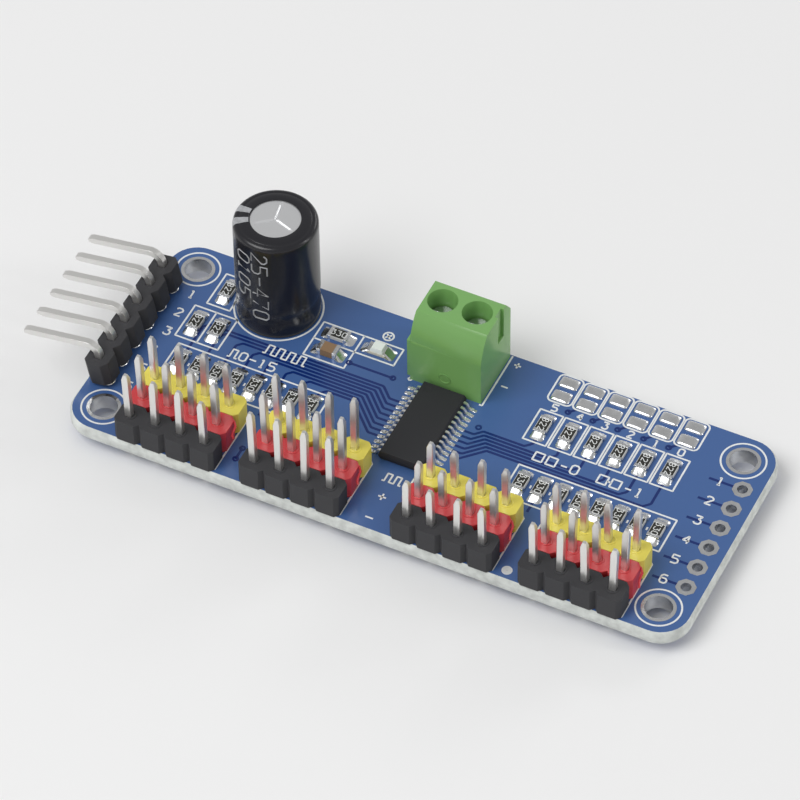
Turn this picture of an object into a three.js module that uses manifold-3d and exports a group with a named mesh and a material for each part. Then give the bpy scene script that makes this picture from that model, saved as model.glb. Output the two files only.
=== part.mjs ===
// Sixteen-channel servo driver board: a circuit board with four groups of three-row pin strips,
// a leaning control header, a two-way screw terminal, a can capacitor, a driver chip and chip parts.
// Millimetres. Origin at the centre of the board's underside, +X along the board towards its end of
// empty plated holes, +Y towards the edge with the screw terminal, +Z up through the parts.

import * as THREE from "three";
import { mergeVertices } from "three/addons/utils/BufferGeometryUtils.js";
import Module from "manifold-3d";

const wasm = await Module();
wasm.setup();

// Circuit board
const BOARD_LENGTH = 62.2;
const BOARD_WIDTH = 25.0;
const TOP = 1.6;
const BOARD_CORNER = 3.0;
const MOUNT_SPACING_X = 55.88;
const MOUNT_SPACING_Y = 19.05;
const MOUNT_HOLE_RADIUS = 1.3;

// How far a cutting solid runs past the face it cuts, and how far joined solids run into each other
const OVERCUT = 1.0;
const OVERLAP = 0.1;

// Sides of each kind of drilled hole
const HOLE_SIDES = { mount: 24, header: 12, pin: 8 };

// Sides of each kind of round solid
const SIDES = { drum: 20, turned: 32, screw: 20, well: 28, core: 24, lead: 10 };

// Pins and strips, on a tenth-inch grid
const PITCH = 2.54;
const PIN_SIDE = 0.64;
const PIN_HOLE_RADIUS = 0.5;
const PIN_BLUNT = 0.55;
const TIP_TAPER = 0.5;
const TAIL_TAPER = 0.3;
const TAIL = 1.2;
const STRIP_WIDTH = 2.5;
const STRIP_HEIGHT = 2.54;
const STRIP_NOTCH = 0.4;
const SERVO_CELLS = 4;
const SERVO_ROWS = { ground: -11.22, power: -8.68, signal: -6.14 };

// The four servo groups: centre along the board and the height of the pin tips above the board
const SERVO_GROUPS = [
  { x: -20.32, tip: 8.0 },
  { x: -7.62, tip: 9.05 },
  { x: 7.62, tip: 7.07 },
  { x: 20.32, tip: 7.74 },
];

// Control header at the left end, leaning outwards, and the empty holes at the right end
const CONTROL_CELLS = 6;
const CONTROL_X = 29.2;
const CONTROL_LEAN = THREE.MathUtils.degToRad(10);
const CONTROL_SEAT = { x: -29.46, z: TOP + 0.4 };
const CONTROL_NOTCH = 0.57;
const CONTROL_HOLE_RADIUS = 0.65;
const CONTROL_BEND = { start: 2.87, radius: 1.1 };
const CONTROL_LEG = 7.6;
const PIN_CLEARANCE = 0.03;

// Can capacitor
const CAN = { x: -18.9, y: 8.45, radius: 3.88, height: 12.0, wall: 0.3, lift: 0.3, rim: 0.4 };
const GROOVE = { height: 2.3, depth: 0.3, half: 0.5 };
const SLEEVE = { radius: 4.0, wall: 0.1, opening: 2.35, height: 12.12, lift: 0.15 };
const BUNG = { clearance: 0.05, floor: 0.1, top: 1.7 };
const WINDING = { clearance: 0.4, floor: 3.1, headroom: 1.0 };
const LEAD_PITCH = 3.5;
const LEAD_RADIUS = 0.3;
const LEAD_HOLE_RADIUS = 0.45;
const LEAD_TOP = 0.6;

// Two-way screw terminal
const POLES = { positive: -2.22, ground: 1.28 };
const HOUSING = { left: -3.9, right: 3.3, front: 5.6, rear: 12.05, height: 8.0 };
const CROWN = { upright: 4.9, depth: 1.4, bulge: 0.15 };
const REAR_CHAMFER = { drop: 1.3, depth: 0.95 };
const TONGUE = { depth: 0.3, length: 1.4, floor: 0.5, top: 5.3 };
const SLOT_IN_SIDE = { depth: 0.3, front: 9.35, rear: 10.55, floor: 4.4 };
const SCREW_Y = 9.15;
const WELL = { radius: 1.45, floor: 5.0 };
const CHAMBER = { half: 1.25, front: 7.45, rear: 11.1, floor: 0.5, ceiling: 4.6 };
const WIRE_WAY = { half: 1.1, floor: 0.9, top: 2.9 };
const CAGE = { half: 1.15, front: 7.7, rear: 10.6, floor: 0.6, height: 2.9, wall: 0.3, roof: 0.6 };
const CLAMP_SCREW = { head: 1.3, shank: 0.8, top: 6.0, tip: 2.9, slot: 0.4, slotDepth: 0.5 };
const HEAD_EASE = 0.15;
const TIP_EASE = 0.2;
const SEAT_GAP = 0.02;
const THROAT_CLEARANCE = 0.15;
const THREAD_CLEARANCE = 0.07;
const BAR = { half: 0.6, floor: 2.35, top: 2.8, rear: 10.95 };
const LEG = { half: 0.45, front: 6.8, rear: 7.3 };
const LEG_HOLE_RADIUS = 0.65;
const SLOT_CLEARANCE = 0.05;

// Chip and chip parts
const CHIP = { x: -0.12, y: 0.35, width: 4.4, length: 9.7, height: 1.1, leads: 14, pitch: 0.65, span: 6.4 };
const CHIP_LIFT = 0.1;
const LEAD_FOOT = { width: 0.24, thickness: 0.15, length: 0.6, shoulder: 0.55, rake: 0.1, root: 0.2 };
const RESISTOR = { length: 2.0, width: 1.25, height: 0.5, cap: 0.35, proud: 0.04 };
const CERAMIC = { length: 2.0, width: 1.25, height: 0.85, cap: 0.4, proud: 0.04 };
const SERIES = { x: 17.46, y: -1.58, pitch: 1.93, count: 8 };
const ADDRESS = { x: 9.7, y: 5.43, count: 6 };
const PULLUPS = [[-24.97, 3.3], [-22.75, 3.3], [-24.05, 8.1]];
const LAMP_RESISTOR_AT = [-12.15, 7.5];
const CERAMIC_AT = [-12.15, 5.3];
const LAMP_AT = [-8.03, 7.45];
const LAMP_BASE = { half: 1.0, side: 0.625, height: 0.35 };
const LAMP_LENS = { half: 0.65, side: 0.55, floor: 0.3, height: 0.8 };

const FINISHES = {
  mask: { color: 0x1d3a7c, roughness: 0.35, metalness: 0.0 },
  black: { color: 0x303234, roughness: 0.55, metalness: 0.0 },
  red: { color: 0xb3272d, roughness: 0.45, metalness: 0.0 },
  yellow: { color: 0xe3d04e, roughness: 0.45, metalness: 0.0 },
  plating: { color: 0xd8d6d0, roughness: 0.25, metalness: 1.0 },
  aluminium: { color: 0xe2e3e4, roughness: 0.35, metalness: 1.0 },
  film: { color: 0x1b1d20, roughness: 0.3, metalness: 0.0 },
  rubber: { color: 0x18181a, roughness: 0.8, metalness: 0.0 },
  foil: { color: 0xb9aa86, roughness: 0.6, metalness: 0.2 },
  green: { color: 0x77ab5f, roughness: 0.45, metalness: 0.0 },
  steel: { color: 0xb8bcbe, roughness: 0.35, metalness: 1.0 },
  epoxy: { color: 0x262728, roughness: 0.7, metalness: 0.0 },
  film_resistor: { color: 0x1c1a18, roughness: 0.5, metalness: 0.0 },
  ceramic: { color: 0x8a6d50, roughness: 0.6, metalness: 0.0 },
  lamp: { color: 0xe8efe9, roughness: 0.2, metalness: 0.0 },
};

const board = new THREE.Group();

// A closed geometry as a solid: shared corners merged and collapsed triangles dropped.
function solid(geometry) {
  geometry.deleteAttribute("normal");
  geometry.deleteAttribute("uv");
  const merged = mergeVertices(geometry, 1e-5);
  const index = merged.index.array;
  const kept = [];
  for (let i = 0; i < index.length; i += 3) {
    const [a, b, c] = [index[i], index[i + 1], index[i + 2]];
    if (a !== b && b !== c && c !== a) kept.push(a, b, c);
  }
  return new wasm.Manifold(new wasm.Mesh({
    numProp: 3,
    vertProperties: new Float32Array(merged.attributes.position.array),
    triVerts: new Uint32Array(kept),
  }));
}

// A named mesh of a solid, added to a group.
function piece(name, body, finish, group = board) {
  const { vertProperties, triVerts } = body.getMesh();
  const geometry = new THREE.BufferGeometry();
  geometry.setAttribute("position", new THREE.BufferAttribute(new Float32Array(vertProperties), 3));
  geometry.setIndex(new THREE.BufferAttribute(new Uint32Array(triVerts), 1));
  geometry.computeVertexNormals();
  const mesh = new THREE.Mesh(geometry, new THREE.MeshStandardMaterial(FINISHES[finish]));
  mesh.name = name;
  group.add(mesh);
}

// A box between two limits along each axis.
function block([x0, x1], [y0, y1], [z0, z1]) {
  const geometry = new THREE.BoxGeometry(x1 - x0, y1 - y0, z1 - z0);
  geometry.translate((x0 + x1) / 2, (y0 + y1) / 2, (z0 + z1) / 2);
  return solid(geometry);
}

// An upright cylinder at (x, y) between two heights.
function drum(radius, x, y, [z0, z1], sides = SIDES.drum) {
  const geometry = new THREE.CylinderGeometry(radius, radius, z1 - z0, sides);
  geometry.rotateX(Math.PI / 2);
  geometry.translate(x, y, (z0 + z1) / 2);
  return solid(geometry);
}

// A profile of [radius, height] points turned about an upright axis at (x, y).
function turned(profile, x, y, sides = SIDES.turned, start = 0) {
  const points = profile.map(([r, z]) => new THREE.Vector2(r, z));
  const geometry = new THREE.LatheGeometry(points, sides, start);
  geometry.rotateX(Math.PI / 2);
  geometry.translate(x, y, 0);
  return solid(geometry);
}

// A plan outline of [x, y] points pushed up from z0 to z1.
function slab(outline, [z0, z1]) {
  const shape = new THREE.Shape(outline.map(([x, y]) => new THREE.Vector2(x, y)));
  const geometry = new THREE.ExtrudeGeometry(shape, { depth: z1 - z0, bevelEnabled: false });
  geometry.translate(0, 0, z0);
  return solid(geometry);
}

// A shape drawn in (y, z) and pushed along X from x0 to x1.
function sideways(shape, [x0, x1], curveSegments = 8) {
  const geometry = new THREE.ExtrudeGeometry(shape, { depth: x1 - x0, bevelEnabled: false, curveSegments });
  const yAxis = new THREE.Vector3(0, 1, 0);
  const zAxis = new THREE.Vector3(0, 0, 1);
  const xAxis = new THREE.Vector3(1, 0, 0);
  geometry.applyMatrix4(new THREE.Matrix4().makeBasis(yAxis, zAxis, xAxis));
  geometry.translate(x0, 0, 0);
  return solid(geometry);
}

function ring(x, y, radius, sides) {
  const points = [];
  for (let i = 0; i < sides; i++) {
    const angle = (2 * Math.PI * i) / sides;
    points.push(new THREE.Vector2(x + radius * Math.cos(angle), y + radius * Math.sin(angle)));
  }
  return new THREE.Path(points);
}

function cellCentre(index, cells) {
  return (index - (cells - 1) / 2) * PITCH;
}

// All drilled holes: mounting, servo pins, both header rows, capacitor leads and terminal legs.
function boardHoles() {
  const holes = [];
  for (const sx of [-1, 1]) {
    for (const sy of [-1, 1]) {
      holes.push(ring(sx * MOUNT_SPACING_X / 2, sy * MOUNT_SPACING_Y / 2, MOUNT_HOLE_RADIUS, HOLE_SIDES.mount));
    }
  }
  for (const { x } of SERVO_GROUPS) {
    for (const y of Object.values(SERVO_ROWS)) {
      for (let i = 0; i < SERVO_CELLS; i++) {
        holes.push(ring(x + cellCentre(i, SERVO_CELLS), y, PIN_HOLE_RADIUS, HOLE_SIDES.pin));
      }
    }
  }
  for (let i = 0; i < CONTROL_CELLS; i++) {
    holes.push(ring(-CONTROL_X, cellCentre(i, CONTROL_CELLS), CONTROL_HOLE_RADIUS, HOLE_SIDES.header));
    holes.push(ring(CONTROL_X, cellCentre(i, CONTROL_CELLS), PIN_HOLE_RADIUS, HOLE_SIDES.header));
  }
  for (const side of [-1, 1]) {
    holes.push(ring(CAN.x + side * LEAD_PITCH / 2, CAN.y, LEAD_HOLE_RADIUS, HOLE_SIDES.pin));
  }
  for (const x of Object.values(POLES)) {
    holes.push(ring(x, (LEG.front + LEG.rear) / 2, LEG_HOLE_RADIUS, HOLE_SIDES.pin));
  }
  return holes;
}

function makeBoard() {
  const w = BOARD_LENGTH / 2;
  const h = BOARD_WIDTH / 2;
  const r = BOARD_CORNER;
  const shape = new THREE.Shape();
  shape.moveTo(-w + r, -h);
  shape.lineTo(w - r, -h);
  shape.absarc(w - r, -h + r, r, -Math.PI / 2, 0);
  shape.absarc(w - r, h - r, r, 0, Math.PI / 2);
  shape.absarc(-w + r, h - r, r, Math.PI / 2, Math.PI);
  shape.absarc(-w + r, -h + r, r, Math.PI, 1.5 * Math.PI);
  shape.holes.push(...boardHoles());
  const geometry = new THREE.ExtrudeGeometry(shape, { depth: TOP, bevelEnabled: false, curveSegments: 6 });
  piece("circuit_board", solid(geometry), "mask");
}

// One edge of a strip of octagonal cells, from its first cell to its last.
function stripEdge(cells, notch, side) {
  const points = [];
  for (let i = 0; i < cells; i++) {
    const left = (i - cells / 2) * PITCH;
    points.push([left + notch, side * STRIP_WIDTH / 2]);
    points.push([left + PITCH - notch, side * STRIP_WIDTH / 2]);
    if (i < cells - 1) points.push([left + PITCH, side * (STRIP_WIDTH / 2 - notch)]);
  }
  return points;
}

function stripOutline(cells, notch) {
  const end = (cells * PITCH) / 2;
  const shoulder = STRIP_WIDTH / 2 - notch;
  return [
    ...stripEdge(cells, notch, -1),
    [end, -shoulder],
    [end, shoulder],
    ...stripEdge(cells, notch, 1).reverse(),
    [-end, shoulder],
    [-end, -shoulder],
  ];
}

// A straight square pin with tapered ends: a turned profile of four sides.
function straightPin(x, y, tip) {
  const corner = PIN_SIDE / Math.SQRT2;
  const blunt = corner * PIN_BLUNT;
  const profile = [
    [0, -TAIL],
    [blunt, -TAIL],
    [corner, -TAIL + TAIL_TAPER],
    [corner, TOP + tip - TIP_TAPER],
    [blunt, TOP + tip],
    [0, TOP + tip],
  ];
  return turned(profile, x, y, 4, Math.PI / 4);
}

// A servo strip: its moulded body with four pins through it, standing on the board.
function makeServoStrip(group, number, row, finish) {
  const outline = stripOutline(SERVO_CELLS, STRIP_NOTCH);
  const y = SERVO_ROWS[row];
  let strip = slab(outline, [TOP, TOP + STRIP_HEIGHT]).translate([group.x, y, 0]);
  for (let i = 0; i < SERVO_CELLS; i++) {
    strip = strip.add(straightPin(group.x + cellCentre(i, SERVO_CELLS), y, group.tip));
  }
  piece(`servo_strip_${number}_${row}`, strip, finish);
}

function makeServoStrips() {
  SERVO_GROUPS.forEach((group, i) => {
    makeServoStrip(group, i + 1, "ground", "black");
    makeServoStrip(group, i + 1, "power", "red");
    makeServoStrip(group, i + 1, "signal", "yellow");
  });
}

// The side outline of a bent pin: up from its tail, round the bend and out along its leg.
function bentPinShape() {
  const half = PIN_SIDE / 2;
  const blunt = half * PIN_BLUNT;
  const { start, radius } = CONTROL_BEND;
  const tail = -(CONTROL_SEAT.z + TAIL) / Math.cos(CONTROL_LEAN);
  const leg = start + radius;
  const shape = new THREE.Shape();
  shape.moveTo(-blunt, tail);
  shape.lineTo(blunt, tail);
  shape.lineTo(half, tail + TAIL_TAPER);
  shape.absarc(radius, start, radius - half, Math.PI, Math.PI / 2, true);
  shape.lineTo(CONTROL_LEG - TIP_TAPER, leg - half);
  shape.lineTo(CONTROL_LEG, leg - blunt);
  shape.lineTo(CONTROL_LEG, leg + blunt);
  shape.lineTo(CONTROL_LEG - TIP_TAPER, leg + half);
  shape.absarc(radius, start, radius + half, Math.PI / 2, Math.PI, false);
  shape.lineTo(-half, tail + TAIL_TAPER);
  return shape;
}

// Turns a shape drawn in (outwards, up) into the header's frame, where outwards is -X.
function bentPin(y) {
  const options = { depth: PIN_SIDE, bevelEnabled: false, curveSegments: 3 };
  const geometry = new THREE.ExtrudeGeometry(bentPinShape(), options);
  const outwards = new THREE.Vector3(-1, 0, 0);
  const up = new THREE.Vector3(0, 0, 1);
  const across = new THREE.Vector3(0, 1, 0);
  geometry.applyMatrix4(new THREE.Matrix4().makeBasis(outwards, up, across));
  geometry.translate(0, y - PIN_SIDE / 2, 0);
  return solid(geometry);
}

function makeControlHeader() {
  const header = new THREE.Group();
  header.position.set(CONTROL_SEAT.x, 0, CONTROL_SEAT.z);
  header.rotation.y = -CONTROL_LEAN;
  board.add(header);
  const turn = stripOutline(CONTROL_CELLS, CONTROL_NOTCH).map(([x, y]) => [-y, x]);
  let body = slab(turn, [0, STRIP_HEIGHT]);
  const half = PIN_SIDE / 2 + PIN_CLEARANCE;
  for (let i = 0; i < CONTROL_CELLS; i++) {
    const y = cellCentre(i, CONTROL_CELLS);
    body = body.subtract(block([-half, half], [y - half, y + half], [-OVERCUT, STRIP_HEIGHT + OVERCUT]));
    piece(`control_header_pin_${i + 1}`, bentPin(y), "plating", header);
  }
  piece("control_header_body", body, "black", header);
}

// The aluminium can: a cup open at the bottom, with the groove that grips the bung.
function makeCan() {
  const { x, y, radius, height, wall, lift, rim } = CAN;
  const waist = radius - GROOVE.depth;
  const inner = radius - wall;
  const floor = TOP + lift;
  const top = TOP + height;
  const groove = TOP + GROOVE.height;
  const profile = [
    [0, top - wall],
    [inner - wall, top - wall],
    [inner, top - 2 * wall],
    [inner, groove + GROOVE.half],
    [waist - wall, groove],
    [inner, groove - GROOVE.half],
    [inner, floor],
    [radius, floor],
    [radius, groove - GROOVE.half],
    [waist, groove],
    [radius, groove + GROOVE.half],
    [radius, top - rim],
    [radius - rim, top],
    [0, top],
  ];
  piece("capacitor_can", turned(profile, x, y), "aluminium");
}

// The film shrunk over the can, turned in over its rim and left open around the vent.
function makeSleeve() {
  const { radius, wall, opening, height, lift } = SLEEVE;
  const { x, y, rim } = CAN;
  const waist = radius - GROOVE.depth;
  const inner = radius - wall;
  const fold = rim + wall / 2;
  const floor = TOP + lift;
  const top = TOP + height;
  const groove = TOP + GROOVE.height;
  const profile = [
    [inner, floor],
    [radius, floor],
    [radius, groove - GROOVE.half],
    [waist, groove],
    [radius, groove + GROOVE.half],
    [radius, top - rim],
    [radius - rim, top],
    [opening, top],
    [opening, top - wall],
    [radius - fold, top - wall],
    [inner, top - fold],
    [inner, groove + GROOVE.half],
    [waist - wall, groove],
    [inner, groove - GROOVE.half],
    [inner, floor],
  ];
  piece("capacitor_sleeve", turned(profile, x, y), "film");
}

// The rubber bung in the can's mouth, with the two leads moulded through it.
function makeBung() {
  const { x, y, radius, wall } = CAN;
  let bung = drum(radius - wall - BUNG.clearance, x, y, [TOP + BUNG.floor, TOP + BUNG.top], SIDES.core);
  for (const side of [-1, 1]) {
    const heights = [-TAIL, TOP + LEAD_TOP];
    bung = bung.add(drum(LEAD_RADIUS, x + side * LEAD_PITCH / 2, y, heights, SIDES.lead));
  }
  piece("capacitor_bung", bung, "rubber");
}

// The roll of foil and paper sealed in the can.
function makeWinding() {
  const { x, y, radius, wall, height } = CAN;
  const heights = [TOP + WINDING.floor, TOP + height - WINDING.headroom];
  piece("capacitor_winding", drum(radius - wall - WINDING.clearance, x, y, heights, SIDES.core), "foil");
}

// The housing's end view: an upright front that curves back to the top, and an eased rear edge.
function housingShape() {
  const { front, rear, height } = HOUSING;
  const top = TOP + height;
  const shape = new THREE.Shape();
  shape.moveTo(front, TOP);
  shape.lineTo(rear, TOP);
  shape.lineTo(rear, top - REAR_CHAMFER.drop);
  shape.lineTo(rear - REAR_CHAMFER.depth, top);
  shape.lineTo(front + CROWN.depth, top);
  shape.quadraticCurveTo(front + CROWN.bulge, top - REAR_CHAMFER.drop, front, TOP + CROWN.upright);
  return shape;
}

// What one pole takes out of the housing: screw well, throat, cage chamber, wire way and leg slot.
function poleCavity(x) {
  const { half, front, rear, floor, ceiling } = CHAMBER;
  const around = (h) => [x - h, x + h];
  const neck = CLAMP_SCREW.shank + THROAT_CLEARANCE;
  const side = BAR.half + SLOT_CLEARANCE;
  const well = drum(WELL.radius, x, SCREW_Y, [TOP + WELL.floor, TOP + HOUSING.height + OVERCUT], SIDES.well);
  const throat = drum(neck, x, SCREW_Y, [TOP + ceiling - OVERLAP, TOP + WELL.floor + OVERLAP]);
  const chamber = block(around(half), [front, rear], [TOP + floor, TOP + ceiling]);
  const wayDepth = [rear - OVERLAP, HOUSING.rear + OVERCUT];
  const way = block(around(WIRE_WAY.half), wayDepth, [TOP + WIRE_WAY.floor, TOP + WIRE_WAY.top]);
  const slotDepth = [LEG.front - SLOT_CLEARANCE, front + OVERLAP];
  const slot = block(around(side), slotDepth, [TOP - OVERCUT, TOP + BAR.top + OVERLAP]);
  return well.add(throat).add(chamber).add(way).add(slot);
}

// The housing, with a tongue low on its left side and the groove for a neighbour's on its right.
function makeHousing() {
  const { left, right, front, height } = HOUSING;
  const tongue = block(
    [left - TONGUE.depth, left + OVERLAP],
    [front, front + TONGUE.length],
    [TOP + TONGUE.floor, TOP + TONGUE.top],
  );
  const groove = block(
    [right - SLOT_IN_SIDE.depth, right + OVERCUT],
    [SLOT_IN_SIDE.front, SLOT_IN_SIDE.rear],
    [TOP + SLOT_IN_SIDE.floor, TOP + height + OVERCUT],
  );
  let housing = sideways(housingShape(), [left, right]).add(tongue).subtract(groove);
  for (const x of Object.values(POLES)) {
    housing = housing.subtract(poleCavity(x));
  }
  piece("terminal_housing", housing, "green");
}

// A captive slotted screw, its head in the well and its shank through the cage's roof.
function clampScrew(x) {
  const { head, shank, top, tip, slot, slotDepth } = CLAMP_SCREW;
  const seat = TOP + WELL.floor + SEAT_GAP;
  const profile = [
    [0, TOP + tip],
    [shank - TIP_EASE, TOP + tip],
    [shank, TOP + tip + TIP_EASE],
    [shank, seat],
    [head, seat],
    [head, TOP + top - HEAD_EASE],
    [head - HEAD_EASE, TOP + top],
    [0, TOP + top],
  ];
  const blade = block(
    [x - head - OVERCUT, x + head + OVERCUT],
    [SCREW_Y - slot / 2, SCREW_Y + slot / 2],
    [TOP + top - slotDepth, TOP + top + OVERCUT],
  );
  return turned(profile, x, SCREW_Y, SIDES.screw).subtract(blade);
}

// A rising cage: a short square tube along the wire's way, with the screw's hole in its roof.
function clampCage(x) {
  const { half, front, rear, floor, height, wall, roof } = CAGE;
  const z0 = TOP + floor;
  const z1 = z0 + height;
  const window = half - wall;
  const shell = block([x - half, x + half], [front, rear], [z0, z1]);
  const way = block([x - window, x + window], [front - OVERCUT, rear + OVERCUT], [z0 + wall, z1 - roof]);
  const bore = CLAMP_SCREW.shank + THREAD_CLEARANCE;
  const hole = drum(bore, x, SCREW_Y, [z1 - roof - OVERLAP, z1 + OVERCUT]);
  return shell.subtract(way).subtract(hole);
}

// A contact bar through the cage's window, with the leg that goes down through the board.
function contactBar(x) {
  const bar = block([x - BAR.half, x + BAR.half], [LEG.front, BAR.rear], [TOP + BAR.floor, TOP + BAR.top]);
  const legHeights = [-TAIL, TOP + BAR.floor + OVERLAP];
  const leg = block([x - LEG.half, x + LEG.half], [LEG.front, LEG.rear], legHeights);
  return bar.add(leg);
}

function makeTerminal() {
  makeHousing();
  for (const [pole, x] of Object.entries(POLES)) {
    piece(`terminal_screw_${pole}`, clampScrew(x), "steel");
    piece(`terminal_cage_${pole}`, clampCage(x), "steel");
    piece(`terminal_contact_${pole}`, contactBar(x), "plating");
  }
}

// A gull-wing lead seen from the front, for the side of the chip that `side` points to.
function chipLead(side, y) {
  const { x, width, span } = CHIP;
  const { width: across, thickness, length, shoulder, rake, root: embedded } = LEAD_FOOT;
  const toe = span / 2;
  const heel = toe - length;
  const root = width / 2 - embedded;
  const outline = [
    [root, shoulder],
    [heel - rake, shoulder],
    [heel + rake / 2, 0],
    [toe, 0],
    [toe, thickness],
    [heel + thickness, thickness],
    [heel, shoulder + thickness],
    [root, shoulder + thickness],
  ];
  const shape = new THREE.Shape(outline.map(([u, z]) => new THREE.Vector2(u, z)));
  const geometry = new THREE.ExtrudeGeometry(shape, { depth: across, bevelEnabled: false });
  geometry.rotateX(Math.PI / 2);
  if (side < 0) geometry.rotateZ(Math.PI);
  geometry.translate(x, y + side * across / 2, TOP);
  return solid(geometry);
}

function makeChip() {
  const { x, y, width, length, height, leads, pitch } = CHIP;
  const sides = [x - width / 2, x + width / 2];
  let chip = block(sides, [y - length / 2, y + length / 2], [TOP + CHIP_LIFT, TOP + height]);
  for (const side of [-1, 1]) {
    for (let i = 0; i < leads; i++) {
      chip = chip.add(chipLead(side, y + (i - (leads - 1) / 2) * pitch));
    }
  }
  piece("driver_chip", chip, "epoxy");
}

// A chip part lying along Y: its body with the two plated ends standing slightly proud.
function chipPart({ length, width, height, cap, proud }) {
  const half = length / 2;
  const outline = [
    [-half, 0],
    [-half + cap, 0],
    [-half + cap, proud],
    [half - cap, proud],
    [half - cap, 0],
    [half, 0],
    [half, height],
    [half - cap, height],
    [half - cap, height - proud],
    [-half + cap, height - proud],
    [-half + cap, height],
    [-half, height],
  ];
  const shape = new THREE.Shape(outline.map(([u, z]) => new THREE.Vector2(u, z)));
  return sideways(shape, [-width / 2, width / 2]);
}

function placeChipPart(name, sizes, [x, y], finish, turn = 0) {
  const body = chipPart(sizes).rotate([0, 0, turn]).translate([x, y, TOP]);
  piece(name, body, finish);
}

function makeResistors() {
  for (let i = 0; i < 2 * SERIES.count; i++) {
    const bank = i < SERIES.count ? -1 : 1;
    const place = (i % SERIES.count) - (SERIES.count - 1) / 2;
    const name = `series_resistor_${String(i + 1).padStart(2, "0")}`;
    placeChipPart(name, RESISTOR, [bank * SERIES.x + place * SERIES.pitch, SERIES.y], "film_resistor");
  }
  for (let i = 0; i < ADDRESS.count; i++) {
    const x = ADDRESS.x + (ADDRESS.count - 1 - i) * PITCH;
    placeChipPart(`address_resistor_${i}`, RESISTOR, [x, ADDRESS.y], "film_resistor");
  }
  PULLUPS.forEach((at, i) => placeChipPart(`pullup_resistor_${i + 1}`, RESISTOR, at, "film_resistor"));
  placeChipPart("lamp_resistor", RESISTOR, LAMP_RESISTOR_AT, "film_resistor", 90);
}

// The supply lamp: a flat base with a clear lens block on it.
function makeLamp() {
  const [x, y] = LAMP_AT;
  const box = ({ half, side, floor = 0, height }) =>
    block([x - half, x + half], [y - side, y + side], [TOP + floor, TOP + height]);
  piece("power_lamp", box(LAMP_BASE).add(box(LAMP_LENS)), "lamp");
}

makeBoard();
makeServoStrips();
makeControlHeader();
makeCan();
makeSleeve();
makeBung();
makeWinding();
makeTerminal();
makeChip();
makeResistors();
makeLamp();
placeChipPart("ceramic_capacitor", CERAMIC, CERAMIC_AT, "ceramic", 90);

export default board;
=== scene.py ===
"""Servo driver board: the finished pieces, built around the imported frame."""

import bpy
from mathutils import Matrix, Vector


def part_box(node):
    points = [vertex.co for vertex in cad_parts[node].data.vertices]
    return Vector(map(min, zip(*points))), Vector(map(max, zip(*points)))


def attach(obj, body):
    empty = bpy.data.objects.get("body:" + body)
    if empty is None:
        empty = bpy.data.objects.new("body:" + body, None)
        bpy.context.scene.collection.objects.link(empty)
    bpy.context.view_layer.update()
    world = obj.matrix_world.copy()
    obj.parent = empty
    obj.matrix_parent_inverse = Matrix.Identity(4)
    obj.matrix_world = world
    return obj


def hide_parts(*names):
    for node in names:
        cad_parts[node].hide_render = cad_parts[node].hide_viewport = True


bl_info = {
    "name": "Servo Driver Board",
    "version": (1, 0, 0),
    "blender": (4, 5, 0),
    "location": "3D View > Sidebar > Servo Board",
    "description": "Builds the pieces and finishes of a servo driver board around its frame",
    "category": "Object",
}

import math

import bmesh
import bpy
from mathutils import Matrix, Vector

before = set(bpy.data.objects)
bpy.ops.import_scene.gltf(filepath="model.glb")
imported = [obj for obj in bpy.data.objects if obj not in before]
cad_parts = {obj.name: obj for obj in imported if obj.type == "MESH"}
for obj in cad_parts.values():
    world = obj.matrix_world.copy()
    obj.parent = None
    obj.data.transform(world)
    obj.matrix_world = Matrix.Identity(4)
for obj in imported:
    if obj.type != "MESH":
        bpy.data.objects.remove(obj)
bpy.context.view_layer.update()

MM = 0.001
PITCH = 2.54
ROWS = ("ground", "power", "signal")
POLES = ("positive", "ground")


def span(node):
    """A node's lowest and highest corner in millimetres."""
    low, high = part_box(node)
    return low / MM, high / MM


def middle(node):
    low, high = span(node)
    return (low + high) / 2


TOP = span("circuit_board")[1].z
TAIL = span("servo_strip_1_ground")[0].z


# ---------------------------------------------------------------- settings


def distance(name, text, value, high):
    """A length setting: value and high are in millimetres, and the setting is held in metres."""
    return bpy.props.FloatProperty(
        name=name,
        description=text,
        default=value * MM,
        min=0.0,
        max=high * MM,
        subtype="DISTANCE",
        precision=6,
    )


class BoardSizes(bpy.types.PropertyGroup):
    """Sizes that aren't given by the frame."""

    edge_slope: distance("Edge slope", "How far the scored edge slopes in", 0.2, 0.6)
    print_width: distance("Print width", "Width of a printed line", 0.17, 0.5)
    print_height: distance("Print height", "Thickness of a printed line, half sunk in the mask", 0.044, 0.1)
    trace_width: distance("Trace width", "Width of a copper trace under the mask", 0.26, 1.0)
    trace_height: distance("Trace height", "Thickness of a trace, half of it sunk in the mask", 0.026, 0.1)
    pin_side: distance("Pin side", "Side of a square pin", 0.64, 1.0)
    plastic_edge: distance("Plastic edge", "Rounding of the moulded edges", 0.07, 0.3)
    metal_edge: distance("Metal edge", "Rounding of the metal edges", 0.035, 0.2)
    pin_lean: bpy.props.FloatProperty(
        name="Pin lean",
        description="The most a pin leans from upright",
        default=0.02,
        max=0.2,
        subtype="ANGLE",
    )


def colour(name, text, value):
    return bpy.props.FloatVectorProperty(
        name=name, description=text, default=value, size=3, min=0.0, max=1.0, subtype="COLOR"
    )


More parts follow.
